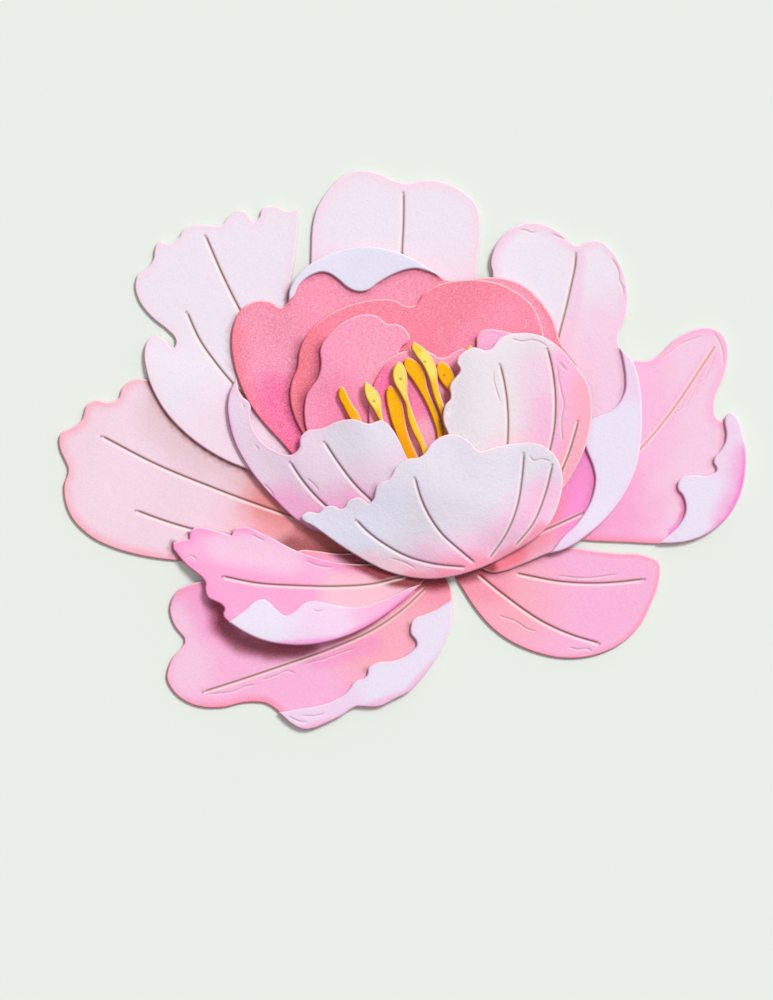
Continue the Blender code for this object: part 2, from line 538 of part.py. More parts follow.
def flat_sheet(loop, sheet):
    """The triangulated face of a sheet, and its corners that are pressed down."""
    points, edges, pressed = grooved_points(loop, sheet)
    corners, _, triangles, _, _, _ = geometry.delaunay_2d_cdt(points, edges, [], 0, MERGE_DISTANCE)
    middles = np.array([sum((corners[i] for i in face), Vector((0, 0))) / 3 for face in triangles])
    inside = edge_distance(middles, loop)[1]
    faces = [face for face, kept in zip(triangles, inside) if kept]
    sunk = set()
    for index, corner in enumerate(corners):
        if any((corner - point).length < MERGE_DISTANCE for point in pressed):
            sunk.add(index)
    return corners, faces, sunk


def make_sheet(sheet, sheets, loops, collection, centre):
    """One sheet of card: its bent lower face, given its thickness upwards."""
    corners, faces, sunk = flat_sheet(loops[sheet.name], sheet)
    plan = np.array(corners)
    heights = underside(sheet, sheets, loops, plan)
    mesh = bpy.data.meshes.new(sheet.name)
    places = [(x - centre.x, y - centre.y, z) for (x, y), z in zip(plan, heights)]
    mesh.from_pydata(places, [], faces)
    mesh.materials.append(paint(sheet.name, sheet.colour))
    card = bpy.data.objects.new(sheet.name, mesh)
    collection.objects.link(card)
    unpressed = card.vertex_groups.new(name="unpressed")
    unpressed.add([index for index in range(len(plan)) if index not in sunk], 1.0, "REPLACE")
    solidify = card.modifiers.new("card_thickness", "SOLIDIFY")
    solidify.thickness = sheet.thickness
    solidify.offset = 1.0
    solidify.vertex_group = unpressed.name
    solidify.thickness_vertex_group = 1 - (sheet.rounding or GROOVE_DEPTH) / sheet.thickness
    return card


def make_peony():
    """All the sheets of the flower, centred on the box of their outlines."""
    collection = bpy.data.collections.new("layered_peony")
    bpy.context.scene.collection.children.link(collection)
    sheets = {sheet.name: sheet for sheet in SHEETS}
    loops = {sheet.name: thinned(smooth_curve(sheet.outline, closed=True)) for sheet in SHEETS}
    everything = np.concatenate([np.array(loop) for loop in loops.values()])
    centre = Vector((everything.min(axis=0) + everything.max(axis=0)) / 2)
    for sheet in SHEETS:
        make_sheet(sheet, sheets, loops, collection, centre)


for leftover in list(bpy.data.objects):
    bpy.data.objects.remove(leftover, do_unlink=True)
make_peony()
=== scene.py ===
"""Dresses a layered peony of die-cut card, and sets it on a pale floor under soft light.

Each sheet of card is made again at a fine grain on the outline of its plain solid. Its
cut edge is rounded, and its veins and creases are pressed in. Its ink is laid in soft
strokes along lines on the petal, and so is painted shadow at the foot of the sheets above;
painted shade and a painted highlight are laid at its veins and cut edges. Lengths are in
metres, and places on the flower are in millimetres from its middle, with x to the right
and y up the flower.
"""

import math
from dataclasses import dataclass

import bmesh
import bpy
import numpy as np
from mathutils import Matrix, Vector, geometry


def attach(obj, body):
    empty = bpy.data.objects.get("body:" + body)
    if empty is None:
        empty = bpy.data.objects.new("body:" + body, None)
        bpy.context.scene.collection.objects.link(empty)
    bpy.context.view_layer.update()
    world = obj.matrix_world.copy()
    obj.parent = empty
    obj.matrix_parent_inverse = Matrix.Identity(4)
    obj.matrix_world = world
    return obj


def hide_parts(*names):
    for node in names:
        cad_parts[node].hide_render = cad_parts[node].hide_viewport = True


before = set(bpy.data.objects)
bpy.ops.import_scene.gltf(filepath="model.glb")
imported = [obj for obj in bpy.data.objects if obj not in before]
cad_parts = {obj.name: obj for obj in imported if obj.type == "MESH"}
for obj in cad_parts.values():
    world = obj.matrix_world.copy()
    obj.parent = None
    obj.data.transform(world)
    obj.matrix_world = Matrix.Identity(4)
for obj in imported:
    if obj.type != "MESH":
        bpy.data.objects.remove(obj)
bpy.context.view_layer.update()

bl_info = {
    "name": "Layered card peony",
    "version": (1, 0, 0),
    "blender": (4, 5, 0),
    "location": "3D View > Sidebar > Peony",
    "description": "Builds a layered peony of die-cut, ink-blended card",
    "category": "Object",
}

MM = 0.001
BODY = "root"

# The stack, as it lies in the frame
CARD_THICKNESS = 0.4 * MM
STAMEN_THICKNESS = 0.5 * MM
GLUE_GAP = 0.2 * MM
DRAPE_REACH = 8.0 * MM
MID_PETAL = "mid_petal_lower_left"
MID_PETAL_LIFT = 2.2 * MM
MID_PETAL_LIFT_FROM = Vector((0.0, -14.0)) * MM
MID_PETAL_LIFT_TO = Vector((-14.0, -26.0)) * MM

# How far the cut edges are rounded over
PLAIN_RIM = 0.2 * MM
OVERLAY_RIM = 0.3 * MM
STAMEN_RIM = 0.36 * MM

# How finely the card is divided, and which of its corners stay sharp
EDGE_STEP = 0.3 * MM
FACE_SPACING = 0.8 * MM
STAMEN_SPACING = 0.3 * MM
LINE_STEP = 0.3 * MM
MERGE_DISTANCE = 0.001 * MM
CORNER_ANGLE = math.radians(55)
SMOOTH_ANGLE = math.radians(50)

# Dots pressed in the anthers and at the head of each vein, and the rings of points round them
DOT_SIZE = 0.17 * MM
DOT_DEPTH = 0.14 * MM
DOT_STEP = 0.12 * MM
DOT_RINGS = 3
RING_POINTS = 5

# Where points are laid beside a vein and a crease, and the room beyond them, in millimetres
VEIN_SIDES = (-0.75, -0.48, -0.3, -0.18, -0.07, 0.07, 0.18, 0.3, 0.48, 0.75)
CREASE_SIDES = (-0.32, -0.18, -0.07, 0.07, 0.18, 0.32)
LINE_ROOM = 0.3

# Where points are laid along the cut edge and the least room to it, in shares of its rounding
RIM_SHARES = (0.12, 0.4, 0.75, 1.15)
RIM_ROOM = 0.11

# The room between the rounding and the face's even points, in shares of their spacing
GRID_ROOM = 0.4

# A scored line's painted shade and painted highlight in cross-section, in its half widths, counted
# towards the light
LINE_REACH = 3
PAINTED_SHADE_PLACE = 0.6
PAINTED_SHADE_SPREAD = 0.8
PAINTED_SHADE_LEAST = 0.7
PAINTED_SHADE_MORE = 0.3
PAINTED_HIGHLIGHT_PLACE = -1.05
PAINTED_HIGHLIGHT_SPREAD = 0.7
GLINT_PLACE = 1.2
GLINT_SPREAD = 0.6

# How a scored line fades at its ends, and how strong the painted shade and highlight of each kind of
# press are
LINE_TAPER = 0.8 * MM
TAPER_START = 0.25
PAST_END = 0.1
VEIN_PAINTED_LIGHT = 1.0
CREASE_PAINTED_LIGHT = 0.5
DOT_PAINTED_SHADE = 0.7

# Painted shadow at the foot of a sheet above, on the side away from the light
FOOT_REACH = 0.9 * MM
FOOT_GAIN = 2

# How unevenly ink is laid along the cut edge and in the washes
EDGE_INK_START = 0.1
UNEVEN_SIZE = 6 * MM
UNEVEN_GAIN = 1.4
UNEVEN_LEAST = 0.3
WANDER_SIZE = 3 * MM
WANDER_SHARE = 0.3

# The card's fine grain, light and dark
GRAIN_SIZE = 0.24 * MM
GRAIN_ROUGHNESS = 0.7
GRAIN_MIDDLE = 0.5
GRAIN_LIGHT = 0.7
GRAIN_DARK = 0.3
LIGHT_GRAIN = 0.08
DARK_GRAIN = 0.07
SPECKLE_GAIN = 0.18

# How fully the scored lines' painted shade and highlight, and the cut edge's painted highlight and
# painted shade, show
PAINTED_HIGHLIGHT_SHARE = 0.95
PAINTED_SHADE_SHARE = 0.92
RIM_FULL = 0.02
RIM_GONE = 0.3
LIT_FROM = -0.1
LIT_TO = 0.5
LIT_SHARE = 0.6
AWAY_TO = -0.6
AWAY_EDGE_SHADE = 0.6
AWAY_SHADE = 0.65

# The face's fibres and finish
FINE_FIBRE = 0.35 * MM
COARSE_FIBRE = 1.0 * MM
COARSE_GAIN = 1.1
FIBRE_DETAIL = 3.0
FIBRE_ROUGHNESS = 0.6
FIBRE_STRENGTH = 0.45
FIBRE_DEPTH = 0.08 * MM
CARD_ROUGHNESS = 0.82
CARD_SPECULAR = 0.05
FLOOR_ROUGHNESS = 0.9

# Places of the colour sockets on a Mix node
MIX_SHARE, MIX_FIRST, MIX_SECOND, MIX_RESULT = 0, 6, 7, 2

# The light comes from the upper right
LIGHT = Vector((0.50, 0.57, 1.05))
LIGHT_ACROSS = LIGHT.xy.normalized()
KEY_ANGLE = math.radians(18)
FILL_COLOUR = (1.0, 0.96, 0.95, 1.0)

# The photograph's frame on the table
VIEW_CENTRE = Vector((-2.2, -7.0)) * MM
VIEW_HEIGHT = 140.0 * MM
VIEW_LENS = 150.0
FLOOR_SIZE = 1.2


def ink(red, green, blue):
    """A colour as it looks on the card, 0 to 255, in the linear values that Blender holds."""
    values = []
    for value in (red, green, blue):
        share = value / 255
        values.append(share / 12.92 if share <= 0.04045 else ((share + 0.055) / 1.055) ** 2.4)
    return tuple(values)


# The colours of the card's inks, and the dark colours laid as painted shade and shadow
INKS_AND_PAINTED_SHADES = {
    "shell": ink(241, 232, 245),
    "shell_rose": ink(246, 216, 232),
    "pearl": ink(232, 226, 240),
    "pearl_blue": ink(227, 229, 247),
    "pearl_rose": ink(238, 216, 236),
    "ivory": ink(234, 226, 234),
    "lilac": ink(238, 230, 249),
    "mauve": ink(244, 210, 240),
    "petal": ink(248, 206, 232),
    "pale_petal": ink(249, 221, 238),
    "rose": ink(252, 184, 222),
    "deep_rose": ink(252, 165, 212),
    "hot": ink(253, 145, 212),
    "magenta": ink(248, 100, 205),
    "plum": ink(122, 58, 98),
    "bistre": ink(140, 62, 58),
    "peach": ink(252, 200, 212),
    "salmon": ink(253, 176, 192),
    "coral_pink": ink(253, 150, 176),
    "coral": ink(252, 128, 146),
    "brick": ink(226, 120, 110),
    "garnet": ink(138, 34, 40),
    "umber": ink(140, 54, 48),
    "wine": ink(160, 50, 85),
    "orchid": ink(205, 84, 150),
    "dusk": ink(226, 194, 200),
    "cream": ink(255, 245, 238),
    "blush": ink(252, 158, 192),
    "hot_blush": ink(252, 112, 168),
    "melon": ink(252, 138, 164),
    "orange": ink(255, 184, 4),
    "flame": ink(238, 118, 4),
    "lemon": ink(252, 231, 110),
    "gold": ink(254, 196, 26),
    "amber": ink(222, 160, 0),
}


@dataclass
class Wash:
    """A soft stroke of colour along a line, in millimetres: ink, or painted shadow where it is
    marked.

    It is full up to the inner distance from the line, and gone at the outer one.
    """

    colour: str
    line: tuple
    inner: float
    outer: float
    strength: float = 0.9


@dataclass
class Edge:
    """Ink along the cut edge: its colour, its width in millimetres and its strength."""

    colour: str
    width: float
    strength: float


@dataclass
class Sheet:
    """How one sheet of card is stacked, scored and inked.

    Body is its main ink, and shade the dark one, used for painted shade and for dark flecks
    of grain. Foot is how strongly painted shadow is laid at the foot of the sheets on it.
    Grain and speckle say how rough and how flecked it is.
    """

    slot: str
    body: str
    edge: Edge
    rests_on: tuple = ()
    veins: tuple = ()
    creases: tuple = ()
    dots: tuple = ()
    washes: tuple = ()
    rim: float = PLAIN_RIM
    thickness: float = CARD_THICKNESS
    spacing: float = FACE_SPACING
    grain: float = 1.0
    speckle: float = 0.0
    shade: str = "plum"
    foot: float = 0.5


# The front petal's lower edge, along which painted shadow is laid on the sheets below it
UNDER_FRONT = ((-13, -10.8), (-7.3, -14.8), (-1.3, -17.8), (4.6, -18.5), (10.2, -17.3), (16.1, -14.4))

SHEETS = {
    "back_petal_left": Sheet(
        "shell_pink_card", "shell_rose", Edge("salmon", 1.8, 0.75),
        veins=(
            [(-42.1, 1.9), (-34.6, -2.0), (-26.6, -5.3), (-18.5, -8.3), (-11.0, -10.7)],
            [(-37.3, -8.5), (-33.5, -9.9), (-29.5, -11.1), (-20.0, -12.6)],
        ),
        washes=(
            Wash("pale_petal", ((-40, -6), (-36, 5)), 1, 7, 0.6),
            Wash("dusk", ((-33, 5), (-29, 1), (-24, -1.5), (-19, -4)), 1, 6.5, 0.65),
            Wash("salmon", ((-17, -10.5), (-8, -13.5)), 1, 12, 0.85),
            Wash("brick", ((-18, -6.8), (-13, -9.5), (-8, -13)), 0.3, 6.5, 0.8),
            # Painted shadow under the front petal's lower edge
            Wash("umber", ((-15.5, -13.8), (-12.5, -14.6), (-8.5, -16.5)), 0.8, 3.2, 0.75),
            Wash("umber", UNDER_FRONT, 0.2, 1.6, 0.45),
        ), shade="umber", foot=0.9),
    "back_petal_top": Sheet(
        "shell_pink_card", "shell", Edge("pale_petal", 2.2, 0.9),
        veins=([(0.15, 36.0), (0.1, 31.6), (-0.1, 27.6), (-0.1, 20.0)],),
        washes=(Wash("pale_petal", ((-8, 22), (8, 22)), 2, 9, 0.6),), shade="bistre"),
    "back_petal_right": Sheet(
        "rose_pink_card", "petal", Edge("rose", 1.8, 0.8),
        veins=([(43.6, 14.3), (41.7, 11.4), (37.2, 4.8), (33.3, 0.15), (28.0, -4.4)],),
        creases=(
            [(43.5, 16.4), (44.3, 15.3), (44.8, 13.9), (44.9, 12.1)],
            [(35.9, 12.6), (37.3, 13.6), (38.7, 14.7), (40.3, 15.4), (41.9, 15.9)],
            [(43.7, 13.0), (42.8, 11.0), (42.3, 10.0), (41.5, 9.4), (40.6, 7.8), (39.6, 6.2),
             (37.8, 5.0)],
        ),
        washes=(
            Wash("rose", ((32, 10), (33, 2)), 2, 8, 0.7),
            Wash("deep_rose", ((27, -9), (22, -7)), 4, 13, 0.8),
            Wash("rose", ((43.2, 13), (40.5, 9), (37, 4.3)), 0.5, 1.7, 0.6),
            Wash("coral_pink", ((20, -12.2), (30, -13), (36, -13.2)), 0, 1.3, 0.8),
            # Painted shadow along the tip overlay's lower edge
            Wash("magenta", ((37.6, -11.6), (38.8, -10.4), (39.6, -8.4), (39.3, -6.7), (38.4, -5.3)),
                 0.2, 0.8, 0.6),
        ), shade="brick"),
    "back_petal_lower_right": Sheet(
        "rose_pink_card", "rose", Edge("coral_pink", 1.0, 0.55),
        veins=(
            [(33.9, -18.1), (30.5, -18.5), (26.7, -18.7), (22.5, -18.5), (15.9, -17.3)],
            [(27.6, -27.1), (23.9, -26.0), (20.2, -24.4), (13.9, -20.1), (10.6, -17.4)],
        ),
        creases=(
            [(23.3, -27.6), (24.5, -27.9), (25.9, -27.8), (26.6, -28.2)],
            [(13.6, -23.2), (16.1, -24.1), (17.4, -25.0), (18.8, -25.4)],
            [(21.8, -17.6), (25.5, -17.9), (30.0, -17.4)],
        ),
        washes=(
            Wash("salmon", ((13, -21), (11, -18)), 3, 13, 0.9),
            Wash("coral_pink", ((8, -18.5), (12, -18.5)), 1, 5, 0.7),
            # Painted shadow under the front petal's lower edge
            Wash("garnet", UNDER_FRONT, 0.4, 1.8, 0.75),
        ), shade="umber"),
    "back_petal_lower_left": Sheet(
        "rose_pink_card", "rose", Edge("coral_pink", 1.5, 0.75), ("back_petal_left",),
        veins=(
            [(-27.9, -33.9), (-22.0, -32.0), (-16.4, -30.1), (-10.2, -27.9), (-4.3, -25.3),
             (0.1, -22.3), (3.2, -19.4)],
        ),
        creases=(
            [(-27.5, -34.2), (-23.2, -33.6), (-22.1, -33.1), (-20.4, -32.8)],
            [(-19.7, -32.2), (-17.8, -31.6), (-15.9, -30.9), (-14.9, -31.3)],
            [(-13.5, -30.0), (-12.5, -29.6), (-11.1, -29.3), (-9.8, -28.8), (-8.4, -28.3),
             (-6.8, -27.8)],
        ),
        washes=(
            Wash("petal", ((-31, -24), (-30, -31)), 1, 5.5, 0.8),
            Wash("salmon", ((-3, -27), (5, -20)), 3, 10, 0.9),
            Wash("coral_pink", ((-1, -18), (6, -18.5)), 0.5, 6, 0.9),
            Wash("deep_rose", ((-29, -20), (-26.5, -24.5)), 0.5, 4, 0.75),
            # Painted shadow under the middle petal's lifted lower edge, with hot pink laid in it to
            # warm that shade
            Wash("garnet", ((-26, -22), (-25.4, -24.6), (-22.8, -27), (-19, -28), (-13, -28)),
                 0.4, 2.3, 0.75),
            Wash("hot", ((-12, -29.3), (-4, -27.2)), 0.4, 2.2, 0.45),
            # Painted shadow under the front petal's lower edge
            Wash("garnet", UNDER_FRONT, 0.5, 2.0, 0.85),
        ), shade="umber"),
    "back_petal_upper_left": Sheet(
        "shell_pink_card", "shell", Edge("pale_petal", 1.4, 0.75), ("back_petal_left",),
        veins=(
            [(-27.6, 30.0), (-25.0, 24.0), (-22.75, 19.5), (-18.0, 11.5)],
            [(-30.2, 19.3), (-28.3, 15.2), (-26.5, 12.6), (-23.9, 9.4), (-17.0, 2.8)],
        ),
        washes=(
            Wash("pale_petal", ((-22, 2), (-14, -2)), 2, 12, 0.9),
        ), shade="bistre"),
    "back_petal_upper_right": Sheet(
        "shell_pink_card", "shell", Edge("petal", 1.8, 0.85),
        ("back_petal_top", "back_petal_right", "back_petal_lower_right"),
        veins=(
            [(24.3, 27.5), (24.1, 25.5), (23.6, 23.1), (23.0, 20.4), (21.6, 15.0)],
            [(25.3, -8.8), (21.6, -10.5), (18.6, -11.8)],
        ),
        creases=(
            [(16.4, 30.8), (17.4, 30.7), (18.1, 30.4), (18.9, 30.7)],
            [(20.8, 30.3), (22.2, 29.7), (22.8, 29.5), (23.5, 28.8)],
            [(29.2, 26.9), (30.0, 25.7), (30.3, 24.9), (30.4, 23.7), (30.8, 22.9), (31.0, 21.6)],
        ),
        washes=(
            Wash("petal", ((30, 13), (25, 4)), 3, 13, 0.9),
            Wash("rose", ((24.8, 27), (24.2, 21), (22.6, 14)), 0.3, 1.4, 0.4),
            Wash("peach", ((23, 17), (25.3, 11), (25.5, 2)), 0.4, 3, 0.25),
            Wash("hot", ((25, -3), (23.5, -8)), 2.5, 8, 0.95),
            Wash("coral_pink", ((20.5, -7), (19, -12), (13, -16)), 0.8, 4, 0.9),
            # Painted shadow under the front petal's lower edge: coral further out, garnet close to it
            Wash("coral", UNDER_FRONT, 0.5, 2.4, 0.85),
            Wash("garnet", ((5, -18.6), (9, -17.8), (12.5, -16.4)), 0.3, 1.3, 0.8),
        ), shade="bistre", foot=0.25),
    "tip_overlay_right": Sheet(
        "pale_lilac_card", "lilac", Edge("mauve", 1.0, 0.4), ("back_petal_right",),
        washes=(
            Wash("mauve", ((46, 4.5), (45.3, -2)), 0.5, 3.5, 0.7),
            Wash("hot", ((48.1, -1), (47, -6), (45, -9.8)), 0.2, 3.2, 0.6),
            Wash("magenta", ((48.4, 0.5), (48.3, -2), (47.5, -6.2), (45.6, -9.9), (43, -12)),
                 0.1, 1.2, 0.7),
        ), rim=OVERLAY_RIM, shade="wine"),
    "tip_overlay_lower_left": Sheet(
        "pale_lilac_card", "lilac", Edge("mauve", 1.0, 0.4), ("back_petal_lower_left",),
        creases=(
            [(-14.1, -37.1), (-12.5, -37.2), (-10.8, -36.8)],
            [(-16.0, -37.2), (-14.5, -37.9), (-13.2, -38.1)],
        ),
        washes=(
            Wash("mauve", ((-17, -37), (-13, -38.5), (-8, -36.5)), 1, 5, 0.8),
            Wash("deep_rose", ((-14.5, -39.3), (-8.2, -37.6), (-3.8, -35.6), (0.7, -34),
                               (4.5, -29.9)), 0.1, 1.1, 0.55),
        ), rim=OVERLAY_RIM, shade="wine"),
    "mid_petal_lower_left": Sheet(
        "hot_pink_card", "rose", Edge("hot", 1.7, 0.7), ("back_petal_left", "back_petal_lower_left"),
        veins=(
            [(-25.1, -17.7), (-20.6, -18.6), (-14.7, -19.0), (-8.8, -19.1), (-4.3, -18.8),
             (0.6, -17.6)],
        ),
        creases=(
            [(-13.5, -15.5), (-11.6, -16.2), (-9.8, -16.4)],
            [(-21.1, -11.8), (-19.1, -12.8)],
            [(-30.6, -15.2), (-29.4, -14.8), (-28.6, -15.4)],
        ),
        washes=(
            Wash("deep_rose", ((-27, -18), (-22, -19.5), (-14, -21)), 1.5, 5, 0.7),
            Wash("petal", ((-25, -13.6), (-16, -15)), 0.8, 3.5, 0.8),
            Wash("peach", ((-8, -20.5), (0, -18.6)), 1.4, 5, 0.8),
            Wash("coral_pink", ((-7, -14.7), (3, -16.5)), 0.3, 4, 0.8),
            # Painted shadow under the front petal's lower edge
            Wash("garnet", UNDER_FRONT, 0.8, 1.9, 0.9),
        ), shade="bistre"),
    "tip_overlay_mid": Sheet(
        "pale_lilac_card", "lilac", Edge("mauve", 1.0, 0.3), ("mid_petal_lower_left",),
        creases=([(-12.5, -22.3), (-11.6, -22.5), (-10.8, -22.2)],),
        washes=(
            Wash("mauve", ((-9, -25), (0, -21)), 3, 9, 0.9),
            Wash("rose", ((-3, -22.5), (3.2, -18)), 1, 6, 0.95),
            Wash("magenta", ((-17, -27.3), (-8.8, -26.6), (-2.9, -23.7), (0.8, -20.8)),
                 0.1, 1.1, 0.55),
        ), rim=OVERLAY_RIM, shade="wine"),
    "edge_overlay_crescent": Sheet(
        "pale_lilac_card", "lilac", Edge("mauve", 0.9, 0.4), ("back_petal_upper_right",),
        washes=(
            Wash("mauve", ((31.3, 13), (32.2, 9)), 0.5, 4, 0.7),
            Wash("mauve", ((21, -14), (24, -12.5)), 0.5, 3, 0.5),
        ), rim=OVERLAY_RIM, shade="orchid"),
    "coral_petal_large": Sheet(
        "coral_card", "blush", Edge("coral", 1.3, 0.6),
        ("back_petal_upper_left", "back_petal_upper_right"),
        washes=(
            Wash("coral_pink", ((-20.5, 20), (-12, 21), (0, 23), (12, 23)), 3, 9, 0.55),
            Wash("coral", ((-23.5, 16), (-23, 10), (-18.5, 2.4), (-13, -2)), 0.4, 2.6, 0.6),
            Wash("coral", ((21, 20), (24, 12), (23, 6)), 0.5, 4, 0.25),
            Wash("hot_blush", ((-17.5, 7.5), (-14.8, 1)), 1, 5, 0.85),
            # Painted shadow along the second coral sheet's left edge
            Wash("wine", ((-14, 14.6), (-14.7, 11.9), (-15.1, 9.5), (-15.6, 7.5), (-15.3, 5.4),
                          (-13.9, 2.7)), 0.1, 1.8, 0.4),
        ), speckle=1.0, shade="wine"),
    "curl_overlay_top": Sheet(
        "pale_lilac_card", "lilac", Edge("lilac", 1.0, 0.2), ("coral_petal_large",),
        washes=(Wash("pearl_blue", ((-12, 25), (0, 26)), 1, 6, 0.6),), rim=OVERLAY_RIM,
        shade="wine"),
    "coral_petal_second": Sheet(
        "coral_card", "melon", Edge("coral", 0.9, 0.4), ("coral_petal_large",),
        washes=(
            Wash("coral", ((-13.5, 16), (-15, 9), (-14.5, 3)), 0.5, 4, 0.8),
            # Painted shadow along the left pink petal's left edge
            Wash("wine", ((-11, 14.3), (-11.3, 11.9), (-11.8, 9.5), (-13.2, 7.5), (-13.5, 4.4)),
                 0.2, 2.2, 0.5),
            Wash("blush", ((16, 18), (10, 14)), 2, 6, 0.4),
        ), speckle=0.8, shade="wine"),
    "pink_petal_left": Sheet(
        "blush_card", "blush", Edge("coral_pink", 0.8, 0.3), ("coral_petal_second",),
        creases=([(-0.9, 13.4), (-2.0, 12.8), (-3.0, 11.6)],),
        washes=(
            Wash("hot_blush", ((-9.5, 7), (-8, 1)), 1, 6, 0.35),
            Wash("salmon", ((-4, 15), (-2, 11)), 1, 5, 0.3),
        ), speckle=0.8, shade="wine", foot=0.2),
    "pink_petal_centre": Sheet(
        "blush_card", "blush", Edge("salmon", 1.0, 0.5), ("pink_petal_left",),
        washes=(
            Wash("hot_blush", ((-2.8, 10.5), (-1.4, 7)), 0.6, 3.4, 0.85),
            Wash("hot_blush", ((1, 8.2), (2.6, 5.6)), 0.4, 2.4, 0.5),
            Wash("petal", ((3.2, 2.8), (4, 0)), 0.4, 2.6, 0.3),
        ), speckle=0.7, shade="wine", foot=0.15),
    "pink_petal_right": Sheet(
        "blush_card", "rose", Edge("blush", 0.8, 0.5), ("coral_petal_second",),
        speckle=0.6, shade="wine"),
    "stamens_orange": Sheet(
        "orange_card", "orange", Edge("flame", 0.3, 0.35), ("pink_petal_centre",),
        dots=((5.8, 10.3),),
        washes=(Wash("flame", ((0, -3), (7.5, -3)), 3, 8, 0.3),),
        rim=STAMEN_RIM, thickness=STAMEN_THICKNESS, spacing=STAMEN_SPACING, grain=0.3,
        shade="umber"),
    "stamens_yellow": Sheet(
        "yellow_card", "lemon", Edge("amber", 0.4, 0.6), ("stamens_orange",),
        dots=((-4.0, 6.7), (-0.3, 9.8), (3.1, 12.2)),
        washes=(
            Wash("gold", ((-3, 4.3), (0, -1), (3, -5)), 0.8, 2.2, 0.9),
            Wash("gold", ((0.7, 5.8), (2.4, 1.6), (4, -4)), 0.7, 2.0, 0.9),
            Wash("gold", ((4.7, 8.4), (6.0, 3.2), (6.4, -4)), 0.7, 2.4, 0.9),
            Wash("gold", ((9.2, 14), (9.2, 4)), 0.7, 2.4, 0.9),
            Wash("gold", ((1.9, 14.6), (2.2, 14.0)), 0.2, 1.0, 0.7),
        ), rim=STAMEN_RIM, thickness=STAMEN_THICKNESS, spacing=STAMEN_SPACING, grain=0.3,
        shade="umber"),
    "front_petal_right": Sheet(
        "front_petal_card", "ivory", Edge("pale_petal", 1.1, 0.5),
        ("stamens_yellow", "pink_petal_right", "edge_overlay_crescent"),
        veins=(
            [(13.55, 11.9), (14.2, 9.0), (14.6, 5.9), (14.6, 0.9), (14.2, -3.5)],
            [(20.2, 14.1), (20.8, 11.5), (21.3, 5.9), (21.1, 2.9), (19.6, -3.5)],
            [(24.5, 4.0), (24.0, 2.2), (23.25, -0.3), (22.0, -3.4)],
        ),
        creases=(
            [(15.1, 15.5), (16.7, 15.1), (18.0, 15.3), (19.6, 14.8), (20.3, 14.3)],
            [(12.8, 11.0), (12.7, 9.9), (13.1, 8.3), (13.6, 6.7)],
            [(21.6, 11.7), (21.9, 9.4), (22.2, 7.9), (22.5, 6.3), (22.2, 4.5), (22.3, 1.2)],
            [(21.8, 12.3), (22.9, 11.0)],
        ),
        washes=(
            Wash("petal", ((19.3, 11), (19.3, 2)), 0.5, 5.5, 0.7),
            Wash("peach", ((14.5, -1), (19, -1)), 1, 5, 0.7),
            Wash("rose", ((20, 6), (19.6, -2)), 0.3, 3.4, 0.6),
            Wash("rose", ((23.6, 12), (24.5, 5), (23.5, -1)), 1.6, 4.4, 0.95),
            Wash("salmon", ((26.3, 8), (26, 1), (22, -5.5)), 1, 4.6, 0.85),
            Wash("cream", ((6, 3.5), (7, 8), (8, 12)), 0, 0.5, 0.6),
        ), grain=1.8, shade="bistre"),
    "front_petal_left": Sheet(
        "front_petal_card", "pearl_rose", Edge("hot", 0.7, 0.25), ("stamens_yellow",),
        veins=(
            [(-15.7, -1.7), (-13.9, -4.4), (-12.2, -6.4), (-9.4, -9.0)],
            [(-10.9, 1.1), (-8.8, -2.1), (-6.8, -4.7), (-3.4, -8.0)],
        ),
        creases=(
            [(-13.3, -4.0), (-12.4, -4.7), (-11.6, -5.7)],
            [(-19.4, -4.7), (-18.4, -5.7), (-17.8, -6.6)],
            [(-22.3, 6.8), (-22.0, 5.6)],
            [(-20.6, 0.8), (-19.9, -0.2)],
        ),
        washes=(
            Wash("pearl", ((-8, 1.5), (-3, 2)), 1.2, 4.5, 0.9),
            Wash("deep_rose", ((-16.5, -8.4), (-12, -10), (-6, -8.6)), 1.2, 6, 0.75),
            Wash("magenta", ((-24.6, 5), (-23.4, 0), (-21.2, -3.5), (-16.9, -8.3), (-13.3, -11.2)),
                 0.05, 0.55, 0.7),
        ), grain=1.5, shade="plum"),
    "front_petal": Sheet(
        "front_petal_card", "pearl", Edge("pale_petal", 1.1, 0.4),
        ("front_petal_left", "front_petal_right", "mid_petal_lower_left"),
        veins=(
            [(-6.5, -9.8), (-4.8, -11.5), (-2.2, -13.4), (0.6, -14.9), (4.1, -15.9),
             (8.8, -16.4)],
            [(1.7, -3.9), (2.4, -6.4), (3.5, -8.9), (5.5, -11.8), (7.8, -13.9), (10.1, -15.8)],
            [(16.9, -0.5), (16.6, -4.1), (15.9, -8.1), (14.4, -11.8), (12.1, -15.2)],
            [(20.9, -2.1), (19.8, -6.4), (18.1, -10.4), (15.7, -13.4)],
        ),
        creases=(
            [(17.6, -0.8), (18.2, -1.5), (19.4, -1.3), (20.8, -1.7)],
            [(-1.7, -15.1), (0.0, -15.6), (1.8, -16.5)],
        ),
        washes=(
            Wash("pearl_blue", ((-12, -10), (-6, -12), (-2, -8)), 1, 5, 0.6),
            Wash("petal", ((4, -15.5), (11, -14.5), (16, -10.5), (19, -8)), 0.8, 5.5, 0.8),
            Wash("rose", ((1, -17), (7, -16), (13, -14), (18, -9.5), (20.5, -5.5)), 0.4, 4, 0.6),
            Wash("peach", ((-5, -15.5), (2, -17.6)), 0.2, 2.6, 0.7),
            Wash("coral_pink", ((1, -17.8), (4.6, -18.1), (10, -16.9), (16, -13.9), (19.5, -11)),
                 0.2, 1.6, 0.85),
            Wash("coral_pink", ((6, -16.8), (10.5, -15.8)), 0.4, 2.8, 0.7),
        ), grain=1.8, shade="plum"),
}


